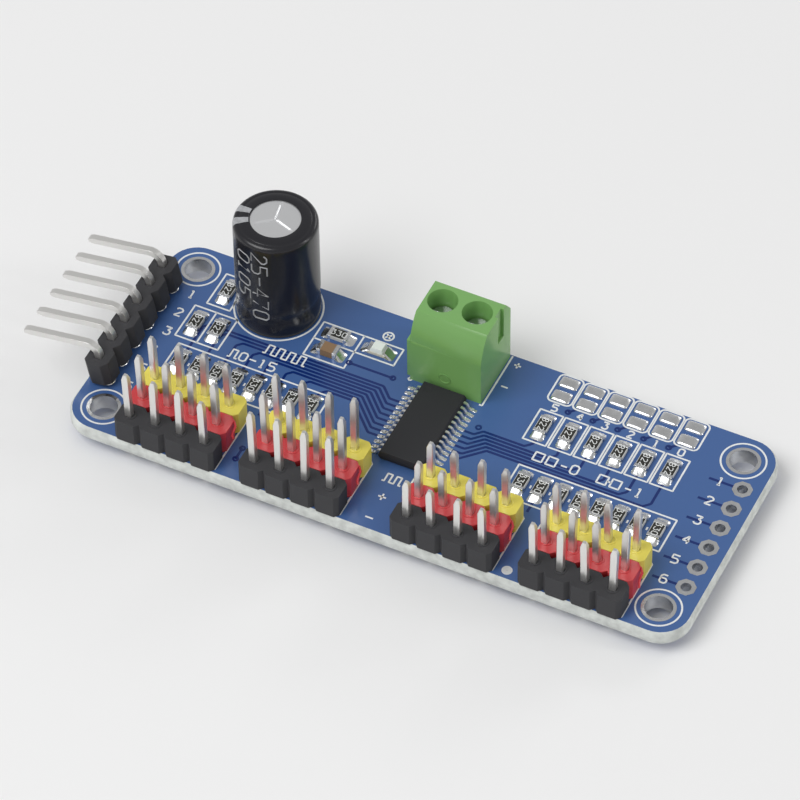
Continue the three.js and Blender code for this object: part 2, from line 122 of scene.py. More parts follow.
class BoardColours(bpy.types.PropertyGroup):
    """Base colours of the finishes."""

    mask: colour("Solder mask", "Colour of the board's solder mask", (0.002, 0.014, 0.092))
    trace: colour("Trace mask", "Colour of the mask where it runs over a trace", (0.0029, 0.0203, 0.1334))
    ink: colour("Print", "Colour of the printed lines", (0.86, 0.88, 0.88))
    laminate: colour("Board edge", "Colour of the cut laminate", (0.74, 0.77, 0.74))
    black: colour("Black strip", "Colour of the ground strips and the header", (0.022, 0.023, 0.026))
    red: colour("Red strip", "Colour of the power strips", (0.56, 0.016, 0.022))
    yellow: colour("Yellow strip", "Colour of the signal strips", (0.90, 0.66, 0.05))
    plating: colour("Pin plating", "Colour of the plated pins", (0.80, 0.78, 0.73))
    tin: colour("Solder", "Colour of the solder", (0.80, 0.81, 0.82))
    aluminium: colour("Can", "Colour of the capacitor's can", (0.84, 0.85, 0.85))
    sleeve: colour("Sleeve", "Colour of the capacitor's sleeve", (0.008, 0.008, 0.011))
    sleeve_ink: colour("Sleeve print", "Colour of the sleeve's print", (0.46, 0.47, 0.49))
    green: colour("Terminal", "Colour of the terminal's housing", (0.30, 0.56, 0.18))
    steel: colour("Screws", "Colour of the clamp screws", (0.52, 0.54, 0.50))
    epoxy: colour("Chip", "Colour of the chip's moulding", (0.12, 0.125, 0.135))
    film: colour("Resistor", "Colour of the resistors' glazed top", (0.014, 0.014, 0.016))
    ceramic: colour("Ceramic", "Colour of the ceramic capacitor", (0.30, 0.20, 0.12))
    alumina: colour("Resistor body", "Colour of the resistors' ceramic body", (0.72, 0.72, 0.69))
    lamp_base: colour("Lamp base", "Colour of the lamp's moulded base", (0.78, 0.74, 0.60))
    lens: colour("Lamp", "Colour of the lamp's lens", (0.86, 0.90, 0.84))
    floor: colour("Floor", "Colour of the floor", (0.90, 0.90, 0.90))


def size_of(name):
    """A length setting in millimetres."""
    return getattr(bpy.context.scene.board_sizes, name) / MM


# ---------------------------------------------------------------- node helpers


def add_node(tree, kind, inputs=None, **settings):
    """A node with its settings; each input takes a value or another node's output."""
    node = tree.nodes.new(kind)
    for key, value in settings.items():
        setattr(node, key, value)
    for label, value in (inputs or {}).items():
        if isinstance(value, bpy.types.NodeSocket):
            tree.links.new(value, node.inputs[label])
        else:
            node.inputs[label].default_value = value
    return node


def new_group(name, kind, inputs, outputs):
    """An empty node group with its sockets, its input node's outputs and its end node."""
    tree = bpy.data.node_groups.new(name, kind)
    for label, socket_type, default in inputs:
        socket = tree.interface.new_socket(label, in_out="INPUT", socket_type="NodeSocket" + socket_type)
        if default is not None:
            socket.default_value = default
    for label, socket_type in outputs:
        tree.interface.new_socket(label, in_out="OUTPUT", socket_type="NodeSocket" + socket_type)
    return tree, tree.nodes.new("NodeGroupInput").outputs, tree.nodes.new("NodeGroupOutput")


def shared(build):
    """The node group that a function builds, made only the first time."""
    return bpy.data.node_groups.get(build.__name__) or build()


# ---------------------------------------------------------------- shader groups


def mottle():
    """Blotches of a second colour over the first, and the mask that made them."""
    sockets = [("Vector", "Vector", None), ("Scale", "Float", 400.0)]
    sockets += [("Base", "Color", None), ("Shade", "Color", None)]
    tree, start, end = new_group("mottle", "ShaderNodeTree", sockets, [("Color", "Color"), ("Mask", "Float")])
    places = {"Vector": start["Vector"], "Scale": start["Scale"], "Detail": 5.0}
    noise = add_node(tree, "ShaderNodeTexNoise", places)
    levels = {"Value": noise.outputs["Fac"], "From Min": 0.3, "From Max": 0.7}
    spread = add_node(tree, "ShaderNodeMapRange", levels).outputs["Result"]
    mixed = {0: spread, 6: start["Base"], 7: start["Shade"]}
    mix = add_node(tree, "ShaderNodeMix", mixed, data_type="RGBA")
    tree.links.new(mix.outputs[2], end.inputs["Color"])
    tree.links.new(spread, end.inputs["Mask"])
    return tree


def fine_grain():
    """Fine surface height: soft grain with small pits in it."""
    sockets = [("Vector", "Vector", None), ("Scale", "Float", 3000.0), ("Pits", "Float", 0.3)]
    tree, start, end = new_group("fine_grain", "ShaderNodeTree", sockets, [("Height", "Float")])
    places = {"Vector": start["Vector"], "Scale": start["Scale"]}
    noise = add_node(tree, "ShaderNodeTexNoise", {**places, "Detail": 3.0})
    cells = add_node(tree, "ShaderNodeTexVoronoi", places)
    mixed = {0: start["Pits"], 2: noise.outputs["Fac"], 3: cells.outputs["Distance"]}
    mix = add_node(tree, "ShaderNodeMix", mixed)
    tree.links.new(mix.outputs[0], end.inputs["Height"])
    return tree


def times(tree, a, b, clamp=False):
    return add_node(tree, "ShaderNodeMath", {0: a, 1: b}, operation="MULTIPLY", use_clamp=clamp).outputs["Value"]


def edge_wear():
    """Where edges are rubbed and where a painted edge highlight goes: a broken mask from how far the surface
    stands out.
    """
    sockets = [("Vector", "Vector", None), ("Pointiness", "Float", 0.5), ("Scale", "Float", 1500.0)]
    sockets.append(("Amount", "Float", 0.5))
    tree, start, end = new_group("edge_wear", "ShaderNodeTree", sockets, [("Mask", "Float")])
    levels = {"Value": start["Pointiness"], "From Min": 0.52, "From Max": 0.62}
    edge = add_node(tree, "ShaderNodeMapRange", levels)
    noise = add_node(tree, "ShaderNodeTexNoise", {"Vector": start["Vector"], "Scale": start["Scale"]})
    broken = times(tree, edge.outputs["Result"], noise.outputs["Fac"])
    tree.links.new(times(tree, broken, start["Amount"], True), end.inputs["Mask"])
    return tree


def scuffs():
    """Faint long marks, where a surface has been slid on."""
    sockets = [("Vector", "Vector", None), ("Scale", "Float", 900.0), ("Amount", "Float", 0.3)]
    tree, start, end = new_group("scuffs", "ShaderNodeTree", sockets, [("Mask", "Float")])
    stretch = {"Vector": start["Vector"], "Rotation": (0.0, 0.0, 0.6), "Scale": (0.08, 1.0, 0.3)}
    stretched = add_node(tree, "ShaderNodeMapping", stretch).outputs["Vector"]
    noise = add_node(tree, "ShaderNodeTexNoise", {"Vector": stretched, "Scale": start["Scale"], "Detail": 2.0})
    levels = {"Value": noise.outputs["Fac"], "From Min": 0.62, "From Max": 0.72}
    thin = add_node(tree, "ShaderNodeMapRange", levels)
    tree.links.new(times(tree, thin.outputs["Result"], start["Amount"]), end.inputs["Mask"])
    return tree


def opaque(rgb):
    return (*rgb, 1.0)


def toned(rgb, factor):
    return tuple(min(1.0, c * factor) for c in rgb)


def finish_of(
    name,
    base,
    shade,
    gloss,
    metallic=0.0,
    blotches=350.0,
    grain=2500.0,
    depth=0.01,
    pits=0.3,
    wear=0.0,
    marks=0.2,
    fixed=None,
):
    """A procedural finish: two-tone colour, rubbed edges with a painted edge highlight, uneven gloss and fine
    relief.
    """
    if name in bpy.data.materials:
        return bpy.data.materials[name]
    material = bpy.data.materials.new(name)
    material.use_nodes = True
    material.diffuse_color = opaque(base)
    tree = material.node_tree
    link = tree.links.new
    shader = tree.nodes["Principled BSDF"]
    for label, value in {"Metallic": metallic, **(fixed or {})}.items():
        shader.inputs[label].default_value = value
    place = tree.nodes.new("ShaderNodeTexCoord").outputs["Object"]

    def group(build, inputs):
        return add_node(tree, "ShaderNodeGroup", {"Vector": place, **inputs}, node_tree=shared(build)).outputs

    tone = group(mottle, {"Scale": blotches, "Base": opaque(base), "Shade": opaque(shade)})
    tint = tone["Color"]
    # Paler edges: partly rubbed wear, partly a painted highlight along the edges.
    if wear:
        stands_out = tree.nodes.new("ShaderNodeNewGeometry").outputs["Pointiness"]
        edge = group(edge_wear, {"Amount": wear, "Pointiness": stands_out})
        worn_and_lit = opaque([min(1.0, c * 1.5 + 0.03) for c in base])
        tint = add_node(tree, "ShaderNodeMix", {0: edge["Mask"], 6: tint, 7: worn_and_lit}, data_type="RGBA").outputs[2]
    link(tint, shader.inputs["Base Color"])
    levels = {"Value": tone["Mask"], "To Min": gloss[0], "To Max": gloss[1]}
    even = add_node(tree, "ShaderNodeMapRange", levels).outputs["Result"]
    marked = {0: even, 1: group(scuffs, {"Amount": marks})["Mask"]}
    rough = add_node(tree, "ShaderNodeMath", marked, operation="ADD", use_clamp=True)
    link(rough.outputs["Value"], shader.inputs["Roughness"])
    height = group(fine_grain, {"Scale": grain, "Pits": pits})["Height"]
    bump = add_node(tree, "ShaderNodeBump", {"Distance": depth * MM, "Height": height})
    link(bump.outputs["Normal"], shader.inputs["Normal"])
    return material


# ---------------------------------------------------------------- finishes


def paint(base, shade, gloss, **more):
    return {"base": base, "shade": shade, "gloss": gloss, **more}


def moulding(base, gloss=(0.34, 0.5), depth=0.02, **more):
    """A moulded plastic whose edges are a little paler: partly rubbed wear, partly a painted edge highlight."""
    return paint(base, 0.84, gloss, blotches=700.0, grain=3200.0, depth=depth, wear=0.7, **more)


def metal(base, gloss, shade=0.82, grain=1800.0, **more):
    return paint(base, shade, gloss, metallic=1.0, blotches=900.0, grain=grain, marks=0.15, **more)


def coat(weight, roughness, **more):
    return {"Coat Weight": weight, "Coat Roughness": roughness, **more}


GLOW = {"Subsurface Weight": 0.22, "Subsurface Scale": 1.2 * MM, "Subsurface Radius": (0.6, 1.0, 0.5)}
CLEAR = {"Transmission Weight": 0.35, "IOR": 1.5, "Coat Weight": 0.4}
MASK = {"blotches": 120.0, "grain": 900.0}
FILM = {"blotches": 500.0, "grain": 900.0}
FINISHES = {
    "solder_mask": paint("mask", 1.25, (0.16, 0.26), depth=0.006, fixed=coat(0.25, 0.1, IOR=1.45), **MASK),
    "raised_mask": paint("trace", 1.2, (0.16, 0.26), depth=0.005, fixed=coat(0.25, 0.12, IOR=1.45), **MASK),
    "board_print": paint("ink", 0.9, (0.45, 0.6), blotches=1500.0, grain=5000.0, depth=0.008),
    "board_edge": paint("laminate", 0.72, (0.6, 0.85), blotches=1100.0, grain=2200.0, depth=0.09, pits=0.55),
    "strip_black": moulding("black"),
    "strip_red": moulding("red"),
    "strip_yellow": moulding("yellow"),
    "pin_plating": metal("plating", (0.2, 0.34), shade=0.9),
    "solder": metal("tin", (0.14, 0.28), depth=0.05, grain=1400.0),
    "can_aluminium": metal("aluminium", (0.42, 0.55), depth=0.008, grain=5000.0, shade=0.93),
    "sleeve_film": paint("sleeve", 1.7, (0.22, 0.36), depth=0.035, fixed=coat(0.35, 0.16), **FILM),
    "sleeve_print": paint("sleeve_ink", 0.7, (0.4, 0.55), blotches=2600.0, grain=4000.0, depth=0.008),
    "bung_rubber": paint("black", 1.5, (0.7, 0.85), depth=0.02),
    "wound_foil": metal("aluminium", (0.4, 0.6), depth=0.05, grain=700.0, shade=0.6),
    "terminal_green": moulding("green", (0.36, 0.5), 0.016, fixed=GLOW),
    "screw_steel": metal("steel", (0.3, 0.46), depth=0.03, grain=2600.0, shade=0.7),
    "chip_epoxy": paint("epoxy", 1.35, (0.55, 0.72), blotches=1400.0, grain=5200.0, depth=0.025, pits=0.6),
    "resistor_film": paint("film", 1.8, (0.2, 0.32), blotches=1500.0, grain=2600.0, depth=0.012),
    "resistor_body": paint("alumina", 0.86, (0.5, 0.65), blotches=1500.0, depth=0.012),
    "ceramic_body": paint("ceramic", 0.8, (0.38, 0.52), blotches=1500.0, depth=0.012),
    "lamp_lens": paint("lens", 0.92, (0.12, 0.2), blotches=900.0, depth=0.006, fixed=CLEAR),
    "lamp_base": paint("lamp_base", 0.85, (0.45, 0.6), blotches=900.0, depth=0.01),
    "floor_paper": paint("floor", 0.99, (0.85, 0.95), blotches=4.0, grain=60.0, depth=0.02, marks=0.0),
}
STRIP_FINISH = {"ground": "strip_black", "power": "strip_red", "signal": "strip_yellow"}


def finish(name):
    """The material of that name, with its colours taken from the settings."""
    values = dict(FINISHES[name])
    base = tuple(getattr(bpy.context.scene.board_colours, values.pop("base")))
    return finish_of(name, base, toned(base, values.pop("shade")), **values)


# ---------------------------------------------------------------- mesh helpers, in millimetres


def add_bridge(bm, low, high, material=0):
    for i, corner in enumerate(low):
        j = (i + 1) % len(low)
        face = bm.faces.new((corner, low[j], high[j], high[i]))
        face.material_index = material


def add_loft(bm, loops, material=0):
    """A closed body through loops of points, each as long as the next."""
    rings = [[bm.verts.new(point) for point in loop] for loop in loops]
    for low, high in zip(rings, rings[1:]):
        add_bridge(bm, low, high, material)
    for ring in (rings[0], rings[-1]):
        bm.faces.new(ring).material_index = material


def add_prism(bm, outline, low, high, material=0):
    add_loft(bm, [[(x, y, z) for x, y in outline] for z in (low, high)], material)


def add_block(bm, low, high, material=0):
    outline = [(low[0], low[1]), (high[0], low[1]), (high[0], high[1]), (low[0], high[1])]
    add_prism(bm, outline, low[2], high[2], material)


def ring_points(x, y, radius, sides, z=None):
    points = []
    for i in range(sides):
        angle = 2 * math.pi * i / sides
        point = (x + radius * math.cos(angle), y + radius * math.sin(angle))
        points.append(point if z is None else (*point, z))
    return points


def add_turned(bm, profile, x, y, sides, material=0, closed=False):
    """Turns (radius, height) points round an upright axis; a closed profile makes a ring."""
    rings = []
    for radius, z in profile:
        if radius < 1e-6:
            rings.append([bm.verts.new((x, y, z))])
        else:
            rings.append([bm.verts.new(point) for point in ring_points(x, y, radius, sides, z)])
    pairs = list(zip(rings, rings[1:]))
    if closed:
        pairs.append((rings[-1], rings[0]))
    for low, high in pairs:
        if len(low) > 1 and len(high) > 1:
            add_bridge(bm, low, high, material)
            continue
        tip, ring = (low[0], high) if len(low) == 1 else (high[0], low)
        for i, corner in enumerate(ring):
            bm.faces.new((tip, corner, ring[(i + 1) % sides])).material_index = material


def rounded_corners(half_x, half_y, radius, steps=8):
    """The outline of a rectangle with round corners, about the origin."""
    points = []
    for quarter, (sx, sy) in enumerate(((1, 1), (-1, 1), (-1, -1), (1, -1))):
        for step in range(steps + 1):
            angle = math.pi / 2 * (quarter + step / steps)
            x = sx * (half_x - radius) + radius * math.cos(angle)
            y = sy * (half_y - radius) + radius * math.sin(angle)
            points.append((x, y))
    return points


def copy_of_node(node):
    """A node's solid with its loose triangles joined and its flat faces made whole."""
    bm = bmesh.new()
    bm.from_mesh(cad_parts[node].data)
    bmesh.ops.scale(bm, vec=(1 / MM,) * 3, verts=bm.verts)
    bmesh.ops.remove_doubles(bm, verts=bm.verts, dist=0.001)
    bmesh.ops.dissolve_limit(bm, angle_limit=math.radians(0.5), verts=bm.verts, edges=bm.edges)
    return bm


def show(name, mesh, materials, body="board", slot=None, replaces=()):
    """Puts a mesh in the scene as a named piece that rides on its body."""
    if not mesh.materials:
        for material in materials:
            mesh.materials.append(material)
    piece = bpy.data.objects.new(name, mesh)
    bpy.context.scene.collection.objects.link(piece)
    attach(piece, body)
    if replaces:
        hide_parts(*replaces)
    return piece


def settle(name, bm, materials, bevel=0.0, sharp=35.0, **place):
    """Turns a millimetre bmesh into a finished piece."""
    bmesh.ops.recalc_face_normals(bm, faces=bm.faces)
    bmesh.ops.scale(bm, vec=(MM,) * 3, verts=bm.verts)
    mesh = bpy.data.meshes.new(name)
    bm.to_mesh(mesh)
    bm.free()
    mesh.shade_smooth()
    if bevel:
        piece = show(name, mesh, materials, **place)
        round_edges(piece, bevel)
        return piece
    mesh.set_sharp_from_angle(angle=math.radians(sharp))
    return show(name, mesh, materials, **place)


def round_edges(piece, width):
    modifier = piece.modifiers.new("edges", "BEVEL")
    modifier.width = width * MM
    modifier.segments = 2
    modifier.limit_method = "ANGLE"
    modifier.angle_limit = math.radians(32)
    modifier.harden_normals = True


# ---------------------------------------------------------------- geometry node helpers


def new_tree(name, inputs):
    sockets = [("Geometry", "Geometry", None), *inputs, ("Material", "Material", None)]
    return new_group(name, "GeometryNodeTree", sockets, [("Geometry", "Geometry")])


def end_tree(tree, start, end, result):
    """Every tree ends in real geometry with its material set."""
    real = add_node(tree, "GeometryNodeRealizeInstances", {"Geometry": result}).outputs["Geometry"]
    dressed = {"Geometry": real, "Material": start["Material"]}
    dress = add_node(tree, "GeometryNodeSetMaterial", dressed)
    tree.links.new(dress.outputs["Geometry"], end.inputs["Geometry"])
    return tree


def repeat_part():
    """Sets a part on every point, turned and stretched as the point says, with a little lean."""
    inputs = [("Part", "Object", None), ("Lean", "Float", 0.0), ("Seed", "Int", 7)]
    tree, start, end = new_tree("repeat_part", inputs)
    read, vector = "GeometryNodeInputNamedAttribute", "FLOAT_VECTOR"
    turn = add_node(tree, read, {"Name": "turn"}, data_type=vector).outputs["Attribute"]
    stretch = add_node(tree, read, {"Name": "stretch"}, data_type=vector).outputs["Attribute"]
    part = add_node(tree, "GeometryNodeObjectInfo", {"Object": start["Part"]}).outputs["Geometry"]
    limits = {0: (-1.0, -1.0, -1.0), 1: (1.0, 1.0, 1.0), "Seed": start["Seed"]}
    lean = add_node(tree, "FunctionNodeRandomValue", limits, data_type="FLOAT_VECTOR").outputs[0]
    scaled = add_node(tree, "ShaderNodeVectorMath", {0: lean, "Scale": start["Lean"]}, operation="SCALE")
    turned = add_node(tree, "ShaderNodeVectorMath", {0: turn, 1: scaled.outputs["Vector"]}, operation="ADD")
    placed = {"Points": start["Geometry"], "Instance": part, "Scale": stretch}
    placed["Rotation"] = turned.outputs["Vector"]
    put = add_node(tree, "GeometryNodeInstanceOnPoints", placed)
    return end_tree(tree, start, end, put.outputs["Instances"])


def flat_line():
    """Follows paths that lie flat with a thin flat line."""
    inputs = [("Line Width", "Float", 0.17), ("Line Height", "Float", 0.02), ("Corner Radius", "Float", 0.08)]
    tree, start, end = new_tree("flat_line", inputs)
    curve = add_node(tree, "GeometryNodeMeshToCurve", {"Mesh": start["Geometry"]}).outputs["Curve"]
    corners = {"Curve": curve, "Radius": start["Corner Radius"], "Count": 3, "Limit Radius": True}
    fillet = add_node(tree, "GeometryNodeFilletCurve", corners, mode="POLY").outputs["Curve"]
    upright = add_node(tree, "GeometryNodeSetCurveNormal", {"Curve": fillet}, mode="Z_UP").outputs["Curve"]
    sides = {"Width": start["Line Width"], "Height": start["Line Height"]}
    section = add_node(tree, "GeometryNodeCurvePrimitiveQuadrilateral", sides).outputs["Curve"]
    swept = {"Curve": upright, "Profile Curve": section, "Fill Caps": True}
    return end_tree(tree, start, end, add_node(tree, "GeometryNodeCurveToMesh", swept).outputs["Mesh"])


def round_line():
    """Follows paths with a thin round line."""
    tree, start, end = new_tree("round_line", [("Line Radius", "Float", 0.06), ("Sides", "Int", 8)])
    curve = add_node(tree, "GeometryNodeMeshToCurve", {"Mesh": start["Geometry"]}).outputs["Curve"]
    circle = {"Resolution": start["Sides"], "Radius": start["Line Radius"]}
    section = add_node(tree, "GeometryNodeCurvePrimitiveCircle", circle).outputs["Curve"]
    swept = {"Curve": curve, "Profile Curve": section, "Fill Caps": True}
    return end_tree(tree, start, end, add_node(tree, "GeometryNodeCurveToMesh", swept).outputs["Mesh"])


def run_tree(name, tree, source, values, **place):
    """Evaluates a tree on a mesh and keeps the result as a plain piece."""
    holder = bpy.data.objects.new(name + "_holder", source)
    bpy.context.scene.collection.objects.link(holder)
    modifier = holder.modifiers.new("shape", "NODES")
    modifier.node_group = tree
    for item in tree.interface.items_tree:
        if item.item_type == "SOCKET" and item.in_out == "INPUT" and item.name in values:
            modifier[item.identifier] = values[item.name]
    bpy.context.view_layer.update()
    depsgraph = bpy.context.evaluated_depsgraph_get()
    mesh = bpy.data.meshes.new_from_object(holder.evaluated_get(depsgraph))
    holder.modifiers.remove(modifier)
    bpy.data.objects.remove(holder)
    if not mesh.polygons:
        raise RuntimeError(name + ": the node tree made no faces")
    bm = bmesh.new()
    bm.from_mesh(mesh)
    bmesh.ops.recalc_face_normals(bm, faces=bm.faces)
    bmesh.ops.scale(bm, vec=(MM,) * 3, verts=bm.verts)
    bm.to_mesh(mesh)
    bm.free()
    for label in ("turn", "stretch"):
        if label in mesh.attributes:
            mesh.attributes.remove(mesh.attributes[label])
    mesh.name = name
    mesh.shade_smooth()
    mesh.set_sharp_from_angle(angle=math.radians(40))
    return show(name, mesh, [values["Material"]], **place)


def repeat(name, build, places, material, lean=0.0, seed=7, **place):
    """Repeats the part that build(bm) draws, at each (point, turn, stretch)."""
    bm = bmesh.new()
    build(bm)
    bmesh.ops.recalc_face_normals(bm, faces=bm.faces)
    part_mesh = bpy.data.meshes.new(name + "_part")
    bm.to_mesh(part_mesh)
    bm.free()
    part = bpy.data.objects.new(name + "_part", part_mesh)
    bpy.context.scene.collection.objects.link(part)
    points = bpy.data.meshes.new(name + "_points")
    points.from_pydata([tuple(p[0]) for p in places], [], [])
    for index, label in ((1, "turn"), (2, "stretch")):
        field = points.attributes.new(label, "FLOAT_VECTOR", "POINT")
        for i, p in enumerate(places):
            field.data[i].vector = p[index]
    values = {"Part": part, "Lean": lean, "Seed": seed, "Material": material}
    piece = run_tree(name, shared(repeat_part), points, values, **place)
    bpy.data.objects.remove(part)
    return piece


def path_mesh(name, paths):
    """Paths as loose edges; a path that ends where it starts is closed."""
    points, edges = [], []
    for path in paths:
        first = len(points)
        closed = path[0] == path[-1]
        points.extend(path[:-1] if closed else path)
        last = len(points) - 1
        edges.extend((i, i + 1) for i in range(first, last))
        if closed:
            edges.append((last, first))
    mesh = bpy.data.meshes.new(name + "_paths")
    mesh.from_pydata(points, edges, [])
    return mesh


# ---------------------------------------------------------------- printed figures

# Figures drawn on a grid 4 wide and 6 high.
FIGURES = {
    "0": [[(1, 0), (3, 0), (4, 1), (4, 5), (3, 6), (1, 6), (0, 5), (0, 1), (1, 0)]],
    "1": [[(1, 5), (2, 6), (2, 0)], [(1, 0), (3, 0)]],
    "2": [[(0, 5), (1, 6), (3, 6), (4, 5), (4, 4), (0, 0), (4, 0)]],
    "3": [[(0, 6), (4, 6), (2, 3.6), (3, 3.6), (4, 2.6), (4, 1), (3, 0), (1, 0), (0, 1)]],
    "4": [[(3, 0), (3, 6), (0, 2), (4, 2)]],
    "5": [[(4, 6), (0, 6), (0, 3.5), (3, 3.5), (4, 2.5), (4, 1), (3, 0), (0, 0)]],
    "6": [[(3.5, 6), (1, 6), (0, 5), (0, 1), (1, 0), (3, 0), (4, 1), (4, 2.5), (3, 3.5), (0, 3.5)]],
    "7": [[(0, 6), (4, 6), (1.5, 0)]],
    "8": [
        [(1, 3), (0, 4), (0, 5), (1, 6), (3, 6), (4, 5), (4, 4), (3, 3), (1, 3)],
        [(1, 3), (0, 2), (0, 1), (1, 0), (3, 0), (4, 1), (4, 2), (3, 3)],
    ],
    "9": [[(0.5, 0), (3, 0), (4, 1), (4, 5), (3, 6), (1, 6), (0, 5), (0, 3.5), (1, 2.5), (4, 2.5)]],
    "+": [[(0, 3), (4, 3)], [(2, 1), (2, 5)]],
    "-": [[(0, 3), (4, 3)]],
    "n": [[(-1, 0), (0.5, 0), (0.5, 6), (3.5, 6), (3.5, 0), (5, 0)]],
}
GRID_HIGH = 6.0
ADVANCE = 5.9


def figures(text, height, place):
    """The strokes of some figures; place() sets a flat (along, up) point where it goes."""
    unit = height / GRID_HIGH
    paths = []
    for i, figure in enumerate(text):
        for stroke in FIGURES.get(figure, []):
            paths.append([place((x + i * ADVANCE) * unit, y * unit) for x, y in stroke])
    return paths


def flat_figures(text, x, y, height, turn=0.0, z=None):
    """Figures lying on the board from (x, y), turned anticlockwise by turn degrees."""
    c, s = math.cos(math.radians(turn)), math.sin(math.radians(turn))
    level = TOP if z is None else z
    return figures(text, height, lambda u, v: (x + u * c - v * s, y + u * s + v * c, level))


def centred_figures(text, x, y, height, turn=0.0, z=None):
    width = ((len(text) - 1) * ADVANCE + 4) * height / GRID_HIGH
    c, s = math.cos(math.radians(turn)), math.sin(math.radians(turn))
    left = x - width / 2 * c + height / 2 * s
    low = y - width / 2 * s - height / 2 * c
    return flat_figures(text, left, low, height, turn, z)


def closed_path(outline, x=0.0, y=0.0):
    points = [(x + px, y + py, TOP) for px, py in outline]
    return points + [points[0]]


def box_path(x0, y0, x1, y1):
    return closed_path([(x0, y0), (x1, y0), (x1, y1), (x0, y1)])


def circle_path(x, y, radius, sides=40):
    return closed_path(ring_points(x, y, radius, sides))


# ---------------------------------------------------------------- board


MOUNT_AT = [(x, y) for x in (-27.94, 27.94) for y in (-9.525, 9.525)]
CONTROL_CELLS = 6
CONTROL_X = 29.2
VIA_ROW = (11.0, 13.5, 16.0, 18.6, 21.1)
VIA_ROW_Y = 8.1
LEAD_PITCH = 0.65
ADDRESS_BITS = 6
ADDRESS_X = 9.7


def cell_places(count):
    return [(i - (count - 1) / 2) * PITCH for i in range(count)]


def servo_pins(row):
    """Where the pins of one row stand, with the height each reaches."""
    places = []
    for group in range(1, 5):
        node = f"servo_strip_{group}_{row}"
        at, top = middle(node), span(node)[1].z
        places.extend((at.x + along, at.y, top) for along in cell_places(4))
    return places


def lead_holes():
    """Every soldered hole as (x, y, hole radius)."""
    holes = [(x, y, 0.5) for row in ROWS for x, y, _ in servo_pins(row)]
    holes += [(-CONTROL_X, y, 0.65) for y in cell_places(CONTROL_CELLS)]
    can = middle("capacitor_can")
    holes += [(can.x + side * 1.75, can.y, 0.45) for side in (-1, 1)]
    holes += [(middle(f"terminal_contact_{pole}").x, 7.05, 0.65) for pole in POLES]
    return holes


def open_holes():
    return [(CONTROL_X, y) for y in cell_places(CONTROL_CELLS)]


class BOARD_OT_plate(bpy.types.Operator):
    """Builds the drilled board with its scored edge and plated holes"""

    bl_idname = "servo_board.build_plate"
    bl_label = "Board"

    def execute(self, context):
        low, high = span("circuit_board")
        half_x, half_y = (high.x - low.x) / 2, (high.y - low.y) / 2
        slope = size_of("edge_slope")
        bm = bmesh.new()
        levels = ((slope, low.z), (0.0, low.z + 1.6 * slope), (0.0, high.z - 1.6 * slope), (slope, high.z))
        rings = []
        for inset, z in levels:
            outline = rounded_corners(half_x - inset, half_y - inset, 3.0 - inset)
            rings.append([bm.verts.new((x, y, z)) for x, y in outline])
        for lower, upper in zip(rings, rings[1:]):
            add_bridge(bm, lower, upper, 1)
        walls = [(x, y, 1.3, 40) for x, y in MOUNT_AT]
        walls += [(x, y, radius, 20) for x, y, radius in lead_holes()]
        walls += [(x, y, 0.5, 24) for x, y in open_holes()]
        loops = {"under": [rings[0]], "top": [rings[-1]]}
        for x, y, radius, sides in walls:
            lower = [bm.verts.new(p) for p in ring_points(x, y, radius, sides, low.z)]
            upper = [bm.verts.new(p) for p in ring_points(x, y, radius, sides, high.z)]
            add_bridge(bm, lower, upper, 2)
            loops["under"].append(lower)
            loops["top"].append(upper)
        for rims in loops.values():
            edges = [bm.edges.get((ring[i], ring[i - 1])) for ring in rims for i in range(len(ring))]
            made = bmesh.ops.triangle_fill(bm, use_beauty=True, edges=edges)
            for face in made["geom"]:
                if isinstance(face, bmesh.types.BMFace):
                    face.material_index = 0
        materials = [finish("solder_mask"), finish("board_edge"), finish("solder")]
        settle("board_plate", bm, materials, slot="solder_mask", replaces=["circuit_board"])
        return {"FINISHED"}


def address_traces():
    """Six nested runs from the chip's right side to the address resistors."""
    chip = middle("driver_chip")
    runs = []
    for i in range(6):
        lead = chip.y + (2.5 - i) * LEAD_PITCH
        level = 2.65 - 0.4 * i
        x = middle(f"address_resistor_{5 - i}").x
        climb = level - lead
        run = [(3.2, lead), (4.3, lead), (4.3 + climb, level)]
        runs.append(run + [(x - 0.6, level), (x, level + 0.6), (x, 4.3)])
    return runs


def servo_traces():
    """Eight nested runs from the left bank of resistors to the chip, and a stub below every resistor."""
    chip = middle("driver_chip")
    runs = []
    for i in range(8):
        at = middle(f"series_resistor_{i + 1:02d}")
        level = 0.95 + 0.4 * (7 - i)
        lead = chip.y + (3.5 - i) * LEAD_PITCH
        drop = level - lead
        run = [(at.x, at.y + 1.2), (at.x, level - 0.5), (at.x + 0.5, level)]
        runs.append(run + [(-4.6 - drop, level), (-4.6, lead), (-3.4, lead)])
    for i in range(16):
        at = middle(f"series_resistor_{i + 1:02d}")
        runs.append([(at.x, at.y - 1.2), (at.x, -4.4)])
    return runs


def trace_paths():
    """Copper runs under the mask, as flat paths on the top face."""
    runs = address_traces() + servo_traces()
    for y in cell_places(CONTROL_CELLS):
        runs.append([(28.3, y), (25.9, y)])
    runs += [[(x, VIA_ROW_Y), (x + 0.6, VIA_ROW_Y + 0.6)] for x in VIA_ROW]
    runs.append([(-9.9, 5.0), (-5.4, 5.0)])
    runs.append([(-14.1, -8.6), (-14.1, -10.0)])
    return runs


